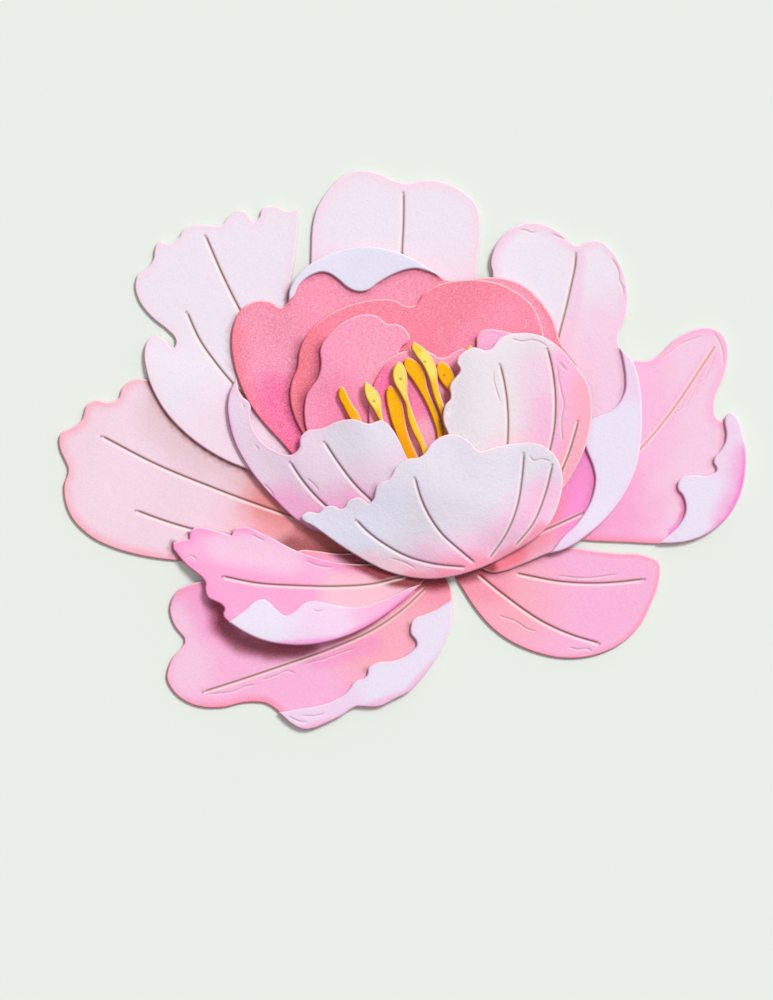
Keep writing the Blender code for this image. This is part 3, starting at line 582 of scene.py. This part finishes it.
class PeonyCard(bpy.types.PropertyGroup):
    """Sizes of the card's pressed detail."""

    vein_width: bpy.props.FloatProperty(
        name="Vein width", description="Half width of a scored vein", default=0.18 * MM, min=0.0,
        unit="LENGTH")
    vein_depth: bpy.props.FloatProperty(
        name="Vein depth", description="Depth of a scored vein", default=0.3 * MM, min=0.0,
        unit="LENGTH")
    crease_width: bpy.props.FloatProperty(
        name="Crease width", description="Half width of a pressed crease", default=0.12 * MM,
        min=0.0, unit="LENGTH")
    crease_depth: bpy.props.FloatProperty(
        name="Crease depth", description="Depth of a pressed crease", default=0.08 * MM, min=0.0,
        unit="LENGTH")
    tooth: bpy.props.FloatProperty(
        name="Tooth", description="How rough the card's face is", default=1.0, min=0.0, max=3.0)


class PeonyStage(bpy.types.PropertyGroup):
    """The floor and the light."""

    floor: bpy.props.FloatVectorProperty(
        name="Floor", description="Colour of the floor", subtype="COLOR",
        default=ink(233, 241, 234), min=0.0, max=1.0)
    key: bpy.props.FloatProperty(
        name="Key light", description="Strength of the key light", default=2.15, min=0.0)
    fill: bpy.props.FloatProperty(
        name="Fill light", description="Strength of the light from all round", default=0.45,
        min=0.0)


# Curves in plan

def tangent(before, here, after):
    """The curve's direction at a point, from its two neighbours."""
    step_in = here - before
    step_out = after - here
    share = step_out.length / step_in.length
    return (step_in * share + step_out / share) / (step_in.length + step_out.length)


def smooth_curve(points, closed, step):
    """A smooth curve through the points, which keeps the sharp corners sharp."""
    count = len(points)
    sharp = [not closed and index in (0, count - 1) for index in range(count)]
    for index in range(count):
        if closed:
            into = points[index] - points[index - 1]
            out = points[(index + 1) % count] - points[index]
            sharp[index] = into.angle(out) > CORNER_ANGLE
    curve = []
    for index in range(count if closed else count - 1):
        after = (index + 1) % count
        here, there = points[index], points[after]
        length = (there - here).length
        start_rate = end_rate = (there - here) / length
        if not sharp[index]:
            start_rate = tangent(points[index - 1], here, there)
        if not sharp[after]:
            end_rate = tangent(here, there, points[(after + 1) % count])
        steps = max(1, round(length / step))
        for number in range(steps):
            t = number / steps
            curve.append(
                here * (2 * t ** 3 - 3 * t ** 2 + 1)
                + start_rate * (length * (t ** 3 - 2 * t ** 2 + t))
                + there * (3 * t ** 2 - 2 * t ** 3)
                + end_rate * (length * (t ** 3 - t ** 2)))
    return curve if closed else curve + [points[-1]]


def drawn_line(places):
    """A smooth line through places given in millimetres."""
    return smooth_curve([Vector(place) * MM for place in places], False, LINE_STEP)


def faces_down(face):
    """Whether a face is part of a sheet's underside."""
    return face.normal.z < -0.5


def outline_of(node):
    """The loop of points round the lower face of a plain sheet, anticlockwise from above."""
    shape = bmesh.new()
    shape.from_mesh(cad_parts[node].data)
    bmesh.ops.remove_doubles(shape, verts=shape.verts, dist=MERGE_DISTANCE)
    shape.normal_update()
    onward = {}
    for face in shape.faces:
        if faces_down(face):
            for loop in face.loops:
                if sum(faces_down(other) for other in loop.edge.link_faces) == 1:
                    onward[loop.link_loop_next.vert.index] = loop.vert
    start = next(iter(onward))
    loop_points = []
    here = start
    while True:
        vert = onward[here]
        loop_points.append(Vector(vert.co.xy))
        here = vert.index
        if here == start:
            break
    shape.free()
    return loop_points


def nearest(points, line, closed):
    """For each point, the way from the line's nearest place, and that place's segment."""
    starts = np.array(line)
    steps = np.roll(starts, -1, axis=0) - starts
    if not closed:
        starts, steps = starts[:-1], steps[:-1]
    offsets = points[:, None, :] - starts[None, :, :]
    along = (offsets * steps).sum(axis=2) / (steps ** 2).sum(axis=1)
    offsets -= np.clip(along, 0, 1)[:, :, None] * steps
    segment = (offsets ** 2).sum(axis=2).argmin(axis=1)
    return offsets[np.arange(len(points)), segment], segment


def distance_to(points, line, closed=False):
    """The distance from each point to the line."""
    return np.linalg.norm(nearest(points, line, closed)[0], axis=1)


def within(points, loop):
    """Whether each point is inside the loop."""
    starts = np.array(loop)
    steps = np.roll(starts, -1, axis=0) - starts
    ends_y = starts[:, 1] + steps[:, 1]
    straddles = (starts[:, 1] > points[:, 1:2]) != (ends_y > points[:, 1:2])
    rise = np.where(steps[:, 1] == 0, 1, steps[:, 1])
    crossing = starts[:, 0] + steps[:, 0] * (points[:, 1:2] - starts[:, 1]) / rise
    return (straddles & (points[:, 0:1] < crossing)).sum(axis=1) % 2 == 1


def smoothstep(value):
    """A soft ramp from 0 to 1."""
    share = np.clip(value, 0, 1)
    return share * share * (3 - 2 * share)


# The draped stack

LOOPS = {node: outline_of(node) for node in SHEETS}


def stack_below(node):
    """Every sheet that lies under this one, directly or through another."""
    below = set()
    for name in SHEETS[node].rests_on:
        below.add(name)
        below |= stack_below(name)
    return below


def free_lift(node, points):
    """How far a sheet stands off what carries it, where it isn't glued down."""
    if node != MID_PETAL:
        return np.zeros(len(points))
    run = MID_PETAL_LIFT_TO - MID_PETAL_LIFT_FROM
    leftwards = smoothstep((points[:, 0] - MID_PETAL_LIFT_FROM.x) / run.x)
    downwards = smoothstep((points[:, 1] - MID_PETAL_LIFT_FROM.y) / run.y)
    return MID_PETAL_LIFT * leftwards * downwards


def underside(node, points):
    """The height of a sheet's lower face over the table at each point."""
    height = free_lift(node, points)
    for name in sorted(stack_below(node)):
        beyond = smoothstep(1 - distance_to(points, LOOPS[name], True) / DRAPE_REACH)
        cover = np.where(within(points, LOOPS[name]), 1.0, beyond)
        height += cover * (SHEETS[name].thickness + GLUE_GAP + free_lift(name, points))
    return height


def outward(loop):
    """The direction out of an anticlockwise loop, for each of its segments."""
    steps = np.roll(np.array(loop), -1, axis=0) - np.array(loop)
    return np.stack([steps[:, 1], -steps[:, 0]], axis=1) / np.linalg.norm(steps, axis=1)[:, None]


def facing_light(loop):
    """How far each segment of a loop faces the light, from -1 to 1."""
    return outward(loop) @ np.array(LIGHT_ACROSS)


def painted_foot_shadow(node, points):
    """How strongly painted shadow falls at each point: how near it is to an edge, facing away from
    the light, of a sheet on this one.
    """
    shadow_share = np.zeros(len(points))
    for name in SHEETS:
        if node in SHEETS[name].rests_on:
            offset, segment = nearest(points, LOOPS[name], True)
            near = smoothstep(1 - np.linalg.norm(offset, axis=1) / FOOT_REACH)
            away = smoothstep(-FOOT_GAIN * facing_light(LOOPS[name])[segment])
            shadow_share = np.maximum(shadow_share, near * away)
    return shadow_share


# One sheet of card

def beside(line, sides, closed=False):
    """Points laid to the sides of a line, at the given distances in millimetres."""
    points = []
    count = len(line)
    for index in range(count):
        before = line[index - 1] if closed or index else line[0]
        after = line[(index + 1) % count] if closed or index < count - 1 else line[index]
        along = (after - before).normalized()
        aside = Vector((-along.y, along.x))
        points += [line[index] + aside * (side * MM) for side in sides]
    return np.array(points)


def around(dot):
    """Rings of points round a dot."""
    points = [dot]
    for number in range(1, DOT_RINGS + 1):
        count = RING_POINTS * number
        for turn in range(count):
            angle = math.tau * turn / count
            points.append(dot + Vector((math.cos(angle), math.sin(angle))) * DOT_STEP * number)
    return np.array(points)


def triangular_grid(outline, spacing):
    """Evenly spaced points over the box of the outline."""
    low = np.min(outline, axis=0)
    high = np.max(outline, axis=0)
    rows = np.arange(low[1], high[1], spacing * math.sin(math.pi / 3))
    grid = []
    for number, y in enumerate(rows):
        xs = np.arange(low[0] + spacing / 2 * (number % 2), high[0], spacing)
        grid.append(np.stack([xs, np.full(len(xs), y)], axis=1))
    return np.concatenate(grid)


def inner_points(outline, sheet, veins, creases, dots):
    """The points inside the outline that a sheet's face is divided at."""
    rim = sheet.rim / MM
    grid = triangular_grid(outline, sheet.spacing)
    clear = distance_to(grid, outline, True) > sheet.rim + GRID_ROOM * sheet.spacing
    parts = [beside(outline, [rim * share for share in RIM_SHARES], True)]
    for lines, sides in ((veins, VEIN_SIDES), (creases, CREASE_SIDES)):
        for line in lines:
            clear &= distance_to(grid, line) > (sides[-1] + LINE_ROOM) * MM
            parts += [beside(line, sides), around(line[0]), around(line[-1])]
    for dot in dots:
        clear &= np.linalg.norm(grid - np.array(dot), axis=1) > (DOT_RINGS + 1) * DOT_STEP
        parts.append(around(dot))
    points = np.concatenate(parts + [grid[clear]])
    room = distance_to(points, outline, True) > RIM_ROOM * sheet.rim
    return points[room & within(points, outline)]


def bump(value, centre, spread):
    """A rounded peak of height 1 round a centre."""
    return np.exp(-((value - centre) / spread) ** 2)


def press_line(points, line, width, strength):
    """The press of one line at each point, its painted shade and its painted highlight, each 0 to 1.

    The wall on the side that the light comes from is in shade and painted dark, and the far wall gets
    a painted highlight.
    """
    offset, segment = nearest(points, line, False)
    places = np.array(line)
    steps = places[1:] - places[:-1]
    lengths = np.linalg.norm(steps, axis=1)
    aside = np.stack([-steps[:, 1], steps[:, 0]], axis=1) / lengths[:, None]
    facing = aside @ np.array(LIGHT_ACROSS)
    aside *= np.where(facing < 0, -1, 1)[:, None]
    crosswise = np.abs(facing)[segment]
    up_light = (offset * aside[segment]).sum(axis=1) / width
    start = (np.cumsum(lengths) - lengths)[segment]
    along = start + np.linalg.norm(points - offset - places[segment], axis=1)
    to_end = np.minimum(along, lengths.sum() - along)
    taper = smoothstep(to_end / LINE_TAPER + TAPER_START)
    beyond = np.linalg.norm(offset, axis=1) / width
    hollow = bump(beyond, 0, 1)
    taper = np.where(to_end < PAST_END * width, taper * hollow, taper)
    dark = bump(up_light, PAINTED_SHADE_PLACE * crosswise, PAINTED_SHADE_SPREAD) * (PAINTED_SHADE_LEAST + PAINTED_SHADE_MORE * crosswise)
    glint = bump(up_light, GLINT_PLACE, GLINT_SPREAD) * (1 - crosswise)
    highlight = np.maximum(bump(up_light, PAINTED_HIGHLIGHT_PLACE, PAINTED_HIGHLIGHT_SPREAD), glint)
    painted_here = taper * strength * (beyond < LINE_REACH)
    return taper * hollow, painted_here * dark, painted_here * highlight


def presses(points, veins, creases, dots, card):
    """How deep the face is pressed at each point, its painted shade and its painted highlight."""
    depth = np.zeros(len(points))
    dark = np.zeros(len(points))
    highlight = np.zeros(len(points))
    for lines, width, deepest, strength in (
            (veins, card.vein_width, card.vein_depth, VEIN_PAINTED_LIGHT),
            (creases, card.crease_width, card.crease_depth, CREASE_PAINTED_LIGHT)):
        for line in lines:
            press, shaded, lit = press_line(points, line, width, strength)
            depth = np.maximum(depth, deepest * press)
            dark = np.maximum(dark, shaded)
            highlight = np.maximum(highlight, lit)
    for dot in dots + [vein[0] for vein in veins]:
        near = bump(np.linalg.norm(points - np.array(dot), axis=1), 0, DOT_SIZE)
        depth = np.maximum(depth, DOT_DEPTH * near)
        dark = np.maximum(dark, DOT_PAINTED_SHADE * near)
    return depth, dark, highlight


def only_select(piece):
    """Leaves one object selected and active."""
    bpy.ops.object.select_all(action="DESELECT")
    piece.select_set(True)
    bpy.context.view_layer.objects.active = piece


def note(mesh, name, values):
    """Stores a number for each point of the mesh."""
    mesh.attributes.new(name, "FLOAT", "POINT").data.foreach_set("value", values)


def flat_face(outline, inner):
    """The triangulated plan of a sheet."""
    count = len(outline)
    edges = [(index, (index + 1) % count) for index in range(count)]
    points = outline + [Vector(point) for point in inner]
    corners, _, triangles, _, _, _ = geometry.delaunay_2d_cdt(points, edges, [], 0, MERGE_DISTANCE)
    plan = np.array(corners)
    triangles = np.array(triangles)
    return plan, triangles[within(plan[triangles].mean(axis=1), outline)]


def card_sheet(node, card):
    """A fine sheet of card on the outline of a plain one."""
    sheet = SHEETS[node]
    outline = smooth_curve(LOOPS[node], True, EDGE_STEP)
    veins = [drawn_line(vein) for vein in sheet.veins]
    creases = [drawn_line(crease) for crease in sheet.creases]
    dots = [Vector(dot) * MM for dot in sheet.dots]
    plan, triangles = flat_face(outline, inner_points(outline, sheet, veins, creases, dots))
    away, segment = nearest(plan, outline, True)
    edge = np.linalg.norm(away, axis=1)
    depth, dark, highlight = presses(plan, veins, creases, dots, card)
    into_rim = np.clip(1 - edge / sheet.rim, 0, 1)
    rounding = sheet.rim * (1 - np.sqrt(1 - into_rim ** 2))

    mesh = bpy.data.meshes.new(node + "_card")
    places = np.column_stack([plan, underside(node, plan)])
    mesh.from_pydata(places.tolist(), [], triangles.tolist())
    note(mesh, "edge_mm", edge / MM)
    note(mesh, "edge_lit", facing_light(outline)[segment])
    # Where painted shadow falls at the foot of the sheets on this one
    note(mesh, "foot", painted_foot_shadow(node, plan))
    # The painted shade and painted highlight of the pressed lines and dots
    note(mesh, "press_painted_shade", dark)
    note(mesh, "press_painted_highlight", highlight)
    note(mesh, "relief", -rounding - depth)
    for number, wash in enumerate(sheet.washes):
        line = [Vector(place) * MM for place in wash.line]
        note(mesh, f"wash_{number}", distance_to(plan, line) / MM)
    piece = bpy.data.objects.new(node + "_card", mesh)
    bpy.context.scene.collection.objects.link(piece)
    thicken(piece, sheet.thickness)
    return piece


def thicken(piece, thickness):
    """Raises the upper face off the lower one, with its relief."""
    only_select(piece)
    bpy.ops.object.mode_set(mode="EDIT")
    bpy.ops.mesh.select_all(action="SELECT")
    bpy.ops.mesh.delete_loose()
    bpy.ops.mesh.select_all(action="SELECT")
    bpy.ops.mesh.extrude_region_move(TRANSFORM_OT_translate={"value": (0, 0, thickness)})
    bpy.ops.object.mode_set(mode="OBJECT")
    raise_selected(piece.data)
    bpy.ops.object.mode_set(mode="EDIT")
    bpy.ops.mesh.select_all(action="SELECT")
    bpy.ops.mesh.normals_make_consistent(inside=False)
    bpy.ops.object.mode_set(mode="OBJECT")
    bpy.ops.object.shade_smooth_by_angle(angle=SMOOTH_ANGLE)


def raise_selected(mesh):
    """Adds the relief to the points that the extrusion left selected, and notes them."""
    count = len(mesh.vertices)
    places = np.empty(count * 3)
    mesh.vertices.foreach_get("co", places)
    places = places.reshape(-1, 3)
    selected = np.empty(count, dtype=bool)
    mesh.vertices.foreach_get("select", selected)
    relief = np.empty(count)
    mesh.attributes["relief"].data.foreach_get("value", relief)
    places[:, 2] += np.where(selected, relief, 0)
    mesh.vertices.foreach_set("co", places.ravel())
    mesh.attributes.remove(mesh.attributes["relief"])
    note(mesh, "upper", selected.astype(float))
    mesh.update()


# Materials

class Socket:
    """A shader socket, on which Python's operators add Math nodes."""

    def __init__(self, shade, socket):
        self.shade = shade
        self.socket = socket

    def math(self, operation, other):
        return self.shade.node("ShaderNodeMath", {"operation": operation}, (self, other))

    def __add__(self, other):
        return self.math("ADD", other)

    def __sub__(self, other):
        return self.math("SUBTRACT", other)

    def __mul__(self, other):
        return self.math("MULTIPLY", other)


class Shade:
    """A material's node tree, and one way to add a node to it."""

    def __init__(self, name):
        self.material = bpy.data.materials.new(name)
        self.material.use_nodes = True
        self.tree = self.material.node_tree
        self.shader = self.tree.nodes["Principled BSDF"]

    def node(self, kind, settings=None, inputs=(), output=0):
        """Adds a node, sets it up, then gives its inputs their values or links."""
        made = self.tree.nodes.new(kind)
        for key, value in (settings or {}).items():
            setattr(made, key, value)
        pairs = inputs.items() if isinstance(inputs, dict) else enumerate(inputs)
        for key, value in pairs:
            self.feed(made.inputs[key], value)
        return Socket(self, made.outputs[output])

    def feed(self, target, value):
        """Links a socket to an input, or sets the input's value."""
        if isinstance(value, Socket):
            self.tree.links.new(value.socket, target)
        else:
            target.default_value = value

    def noted(self, name):
        """A number that is stored for each point of the mesh."""
        return self.node("ShaderNodeAttribute", {"attribute_name": name}, output="Fac")

    def noise(self, size, detail=2.0, roughness=0.5):
        """Soft noise whose lumps are about the given size across."""
        place = self.node("ShaderNodeTexCoord", output="Object")
        settings = {"Vector": place, "Scale": 1 / size, "Detail": detail, "Roughness": roughness}
        return self.node("ShaderNodeTexNoise", None, settings, "Fac")

    def ramp(self, value, low, high, bottom=0.0, top=1.0):
        """A soft step of a value from one level to another."""
        return self.node(
            "ShaderNodeMapRange", {"interpolation_type": "SMOOTHSTEP"},
            {"Value": value, "From Min": low, "From Max": high, "To Min": bottom, "To Max": top})

    def mix(self, share, first, second):
        """One colour blended into another."""
        inputs = {MIX_SHARE: share, MIX_FIRST: first, MIX_SECOND: second}
        return self.node("ShaderNodeMix", {"data_type": "RGBA"}, inputs, MIX_RESULT)

    def use(self, **inputs):
        """Feeds the Principled shader by its inputs' names."""
        for key, value in inputs.items():
            self.feed(self.shader.inputs[key.replace("_", " ")], value)


def flat(colour):
    """A listed colour, an ink or a painted shade, with full alpha."""
    return (*INKS_AND_PAINTED_SHADES[colour], 1.0)


def inked_and_shadowed(shade, sheet):
    """The sheet's colour with the ink along its edge and its washes, some of which are painted
    shadow.
    """
    edge = sheet.edge
    uneven = shade.noise(UNEVEN_SIZE) * UNEVEN_GAIN + UNEVEN_LEAST
    laid = shade.ramp(shade.noted("edge_mm"), EDGE_INK_START, edge.width, edge.strength, 0.0)
    colour = shade.mix(laid * uneven, flat(sheet.body), flat(edge.colour))
    wander = shade.noise(WANDER_SIZE) - 0.5
    for number, wash in enumerate(sheet.washes):
        spread = shade.noted(f"wash_{number}") + wander * (WANDER_SHARE * wash.outer)
        laid = shade.ramp(spread, wash.inner, wash.outer, wash.strength, 0.0)
        colour = shade.mix(laid, colour, flat(wash.colour))
    return colour


def speckled(shade, sheet, colour):
    """The colour with the fine light and dark grain of card."""
    grain = shade.noise(GRAIN_SIZE, roughness=GRAIN_ROUGHNESS)
    flecks = SPECKLE_GAIN * sheet.speckle
    light = shade.ramp(grain, GRAIN_MIDDLE, GRAIN_LIGHT, 0.0, LIGHT_GRAIN + flecks)
    colour = shade.mix(light, colour, flat("cream"))
    dark = shade.ramp(grain, GRAIN_MIDDLE, GRAIN_DARK, 0.0, DARK_GRAIN + flecks)
    return shade.mix(dark, colour, flat(sheet.shade))


def pressed(shade, sheet, colour):
    """The colour with painted shade on the light's side of each vein, and a painted cream highlight
    on the other.
    """
    colour = shade.mix(shade.noted("press_painted_highlight") * PAINTED_HIGHLIGHT_SHARE, colour, flat("cream"))
    return shade.mix(shade.noted("press_painted_shade") * PAINTED_SHADE_SHARE, colour, flat(sheet.shade))


def rimmed(shade, sheet, colour):
    """The colour with a painted cream highlight on the cut edge towards the light, and painted shade
    of edge ink and dark ink on the edge away from it.
    """
    at_rim = shade.ramp(shade.noted("edge_mm"), RIM_FULL, RIM_GONE, 1.0, 0.0)
    facing = shade.noted("edge_lit")
    lit = at_rim * shade.ramp(facing, LIT_FROM, LIT_TO, 0.0, LIT_SHARE)
    colour = shade.mix(lit, colour, flat("cream"))
    away = at_rim * shade.ramp(facing, 0.0, AWAY_TO)
    colour = shade.mix(away * AWAY_EDGE_SHADE, colour, flat(sheet.edge.colour))
    return shade.mix(away * AWAY_SHADE, colour, flat(sheet.shade))


def fibrous(shade, strength):
    """The normal of a face with card's fibres in it."""
    fine = shade.noise(FINE_FIBRE, FIBRE_DETAIL, FIBRE_ROUGHNESS)
    fibre = fine + shade.noise(COARSE_FIBRE) * COARSE_GAIN
    inputs = {"Strength": strength, "Distance": FIBRE_DEPTH, "Height": fibre}
    return shade.node("ShaderNodeBump", None, inputs, "Normal")


def card_material(node, card):
    """Matt card with its ink, painted shadow, painted shade and painted highlights blended in. Its
    back is plain.
    """
    sheet = SHEETS[node]
    shade = Shade(node + "_ink")
    colour = speckled(shade, sheet, inked_and_shadowed(shade, sheet))
    # Painted shadow at the foot of the sheets on this one
    colour = shade.mix(shade.noted("foot") * sheet.foot, colour, flat(sheet.shade))
    colour = pressed(shade, sheet, colour)
    colour = shade.mix(shade.noted("upper"), flat(sheet.body), colour)
    colour = rimmed(shade, sheet, colour)
    normal = fibrous(shade, FIBRE_STRENGTH * sheet.grain * card.tooth)
    shade.use(Base_Color=colour, Roughness=CARD_ROUGHNESS, Normal=normal)
    shade.use(Specular_IOR_Level=CARD_SPECULAR)
    return shade.material


def dress(nodes):
    """Makes the fine sheets that stand for some of the plain ones."""
    card = bpy.context.scene.peony_card
    for node in nodes:
        piece = card_sheet(node, card)
        piece.data.materials.append(card_material(node, card))
        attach(piece, BODY)
        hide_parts(node)


# Operators

class BackPetals(bpy.types.Operator):
    """Adds the four petals that lie on the table, and the three that rest on them"""

    bl_idname = "peony.back_petals"
    bl_label = "Back petals"

    def execute(self, context):
        dress([node for node in SHEETS if node.startswith("back_petal")])
        return {"FINISHED"}


class MiddlePetal(bpy.types.Operator):
    """Adds the hot pink petal whose lower edge is lifted"""

    bl_idname = "peony.middle_petal"
    bl_label = "Middle petal"

    def execute(self, context):
        dress([MID_PETAL])
        return {"FINISHED"}


class Overlays(bpy.types.Operator):
    """Adds the pale lilac overlays along the petals' edges"""

    bl_idname = "peony.overlays"
    bl_label = "Overlays"

    def execute(self, context):
        dress([node for node in SHEETS if "overlay" in node])
        return {"FINISHED"}


class CoralPetals(bpy.types.Operator):
    """Adds the two coral sheets behind the cup"""

    bl_idname = "peony.coral_petals"
    bl_label = "Coral petals"

    def execute(self, context):
        dress([node for node in SHEETS if node.startswith("coral")])
        return {"FINISHED"}


class PinkPetals(bpy.types.Operator):
    """Adds the pink petals round the stamens"""

    bl_idname = "peony.pink_petals"
    bl_label = "Pink petals"

    def execute(self, context):
        dress([node for node in SHEETS if node.startswith("pink")])
        return {"FINISHED"}


class Stamens(bpy.types.Operator):
    """Adds the two combs of stamens"""

    bl_idname = "peony.stamens"
    bl_label = "Stamens"

    def execute(self, context):
        dress([node for node in SHEETS if node.startswith("stamens")])
        return {"FINISHED"}


class FrontPetals(bpy.types.Operator):
    """Adds the three pale petals that close the cup"""

    bl_idname = "peony.front_petals"
    bl_label = "Front petals"

    def execute(self, context):
        dress([node for node in SHEETS if node.startswith("front")])
        return {"FINISHED"}


def add_floor(stage):
    """A plain pale floor, with room for glue between it and the flower."""
    bpy.ops.mesh.primitive_plane_add(size=FLOOR_SIZE, location=(0, 0, -GLUE_GAP))
    floor = bpy.context.object
    floor.name = "floor"
    bpy.ops.object.transform_apply(location=True)
    shade = Shade("floor_paper")
    shade.use(Base_Color=(*stage.floor, 1.0), Roughness=FLOOR_ROUGHNESS)
    floor.data.materials.append(shade.material)


def add_light(stage):
    """One soft key light from the upper right, and an even fill."""
    lamp = bpy.data.lights.new("key", "SUN")
    lamp.energy = stage.key
    lamp.angle = KEY_ANGLE
    key = bpy.data.objects.new("key", lamp)
    bpy.context.scene.collection.objects.link(key)
    key.rotation_euler = LIGHT.to_track_quat("Z", "Y").to_euler()
    world = bpy.data.worlds.new("studio")
    world.use_nodes = True
    background = world.node_tree.nodes["Background"]
    background.inputs["Color"].default_value = FILL_COLOUR
    background.inputs["Strength"].default_value = stage.fill
    bpy.context.scene.world = world


def add_camera():
    """Looks straight down, with the photograph's framing."""
    lens = bpy.data.cameras.new("camera")
    lens.lens = VIEW_LENS
    camera = bpy.data.objects.new("camera", lens)
    bpy.context.scene.collection.objects.link(camera)
    camera.location = (*VIEW_CENTRE, VIEW_HEIGHT * VIEW_LENS / lens.sensor_width)
    bpy.context.scene.camera = camera


class Stage(bpy.types.Operator):
    """Adds the floor, the light and the camera"""

    bl_idname = "peony.stage"
    bl_label = "Stage"

    def execute(self, context):
        stage = context.scene.peony_stage
        add_floor(stage)
        add_light(stage)
        add_camera()
        context.scene.view_settings.view_transform = "Standard"
        return {"FINISHED"}


PIECE_OPERATORS = (
    BackPetals, MiddlePetal, Overlays, CoralPetals, PinkPetals, Stamens, FrontPetals, Stage,
)


class PeonyPanel(bpy.types.Panel):
    """Lists the flower's sizes and its operators"""

    bl_idname = "VIEW3D_PT_peony"
    bl_label = "Layered card peony"
    bl_space_type = "VIEW_3D"
    bl_region_type = "UI"
    bl_category = "Peony"

    def draw(self, context):
        for settings in (context.scene.peony_card, context.scene.peony_stage):
            for name in settings.bl_rna.properties.keys():
                if name not in ("rna_type", "name"):
                    self.layout.prop(settings, name)
        for operator in PIECE_OPERATORS:
            self.layout.operator(operator.bl_idname)


CLASSES = (PeonyCard, PeonyStage, *PIECE_OPERATORS, PeonyPanel)


def register():
    for cls in CLASSES:
        bpy.utils.register_class(cls)
    bpy.types.Scene.peony_card = bpy.props.PointerProperty(type=PeonyCard)
    bpy.types.Scene.peony_stage = bpy.props.PointerProperty(type=PeonyStage)


def unregister():
    del bpy.types.Scene.peony_stage
    del bpy.types.Scene.peony_card
    for cls in reversed(CLASSES):
        bpy.utils.unregister_class(cls)


def main():
    """Builds the whole flower and its stage."""
    register()
    bpy.ops.peony.back_petals()
    bpy.ops.peony.middle_petal()
    bpy.ops.peony.overlays()
    bpy.ops.peony.coral_petals()
    bpy.ops.peony.pink_petals()
    bpy.ops.peony.stamens()
    bpy.ops.peony.front_petals()
    bpy.ops.peony.stage()


if __name__ == "__main__":
    main()
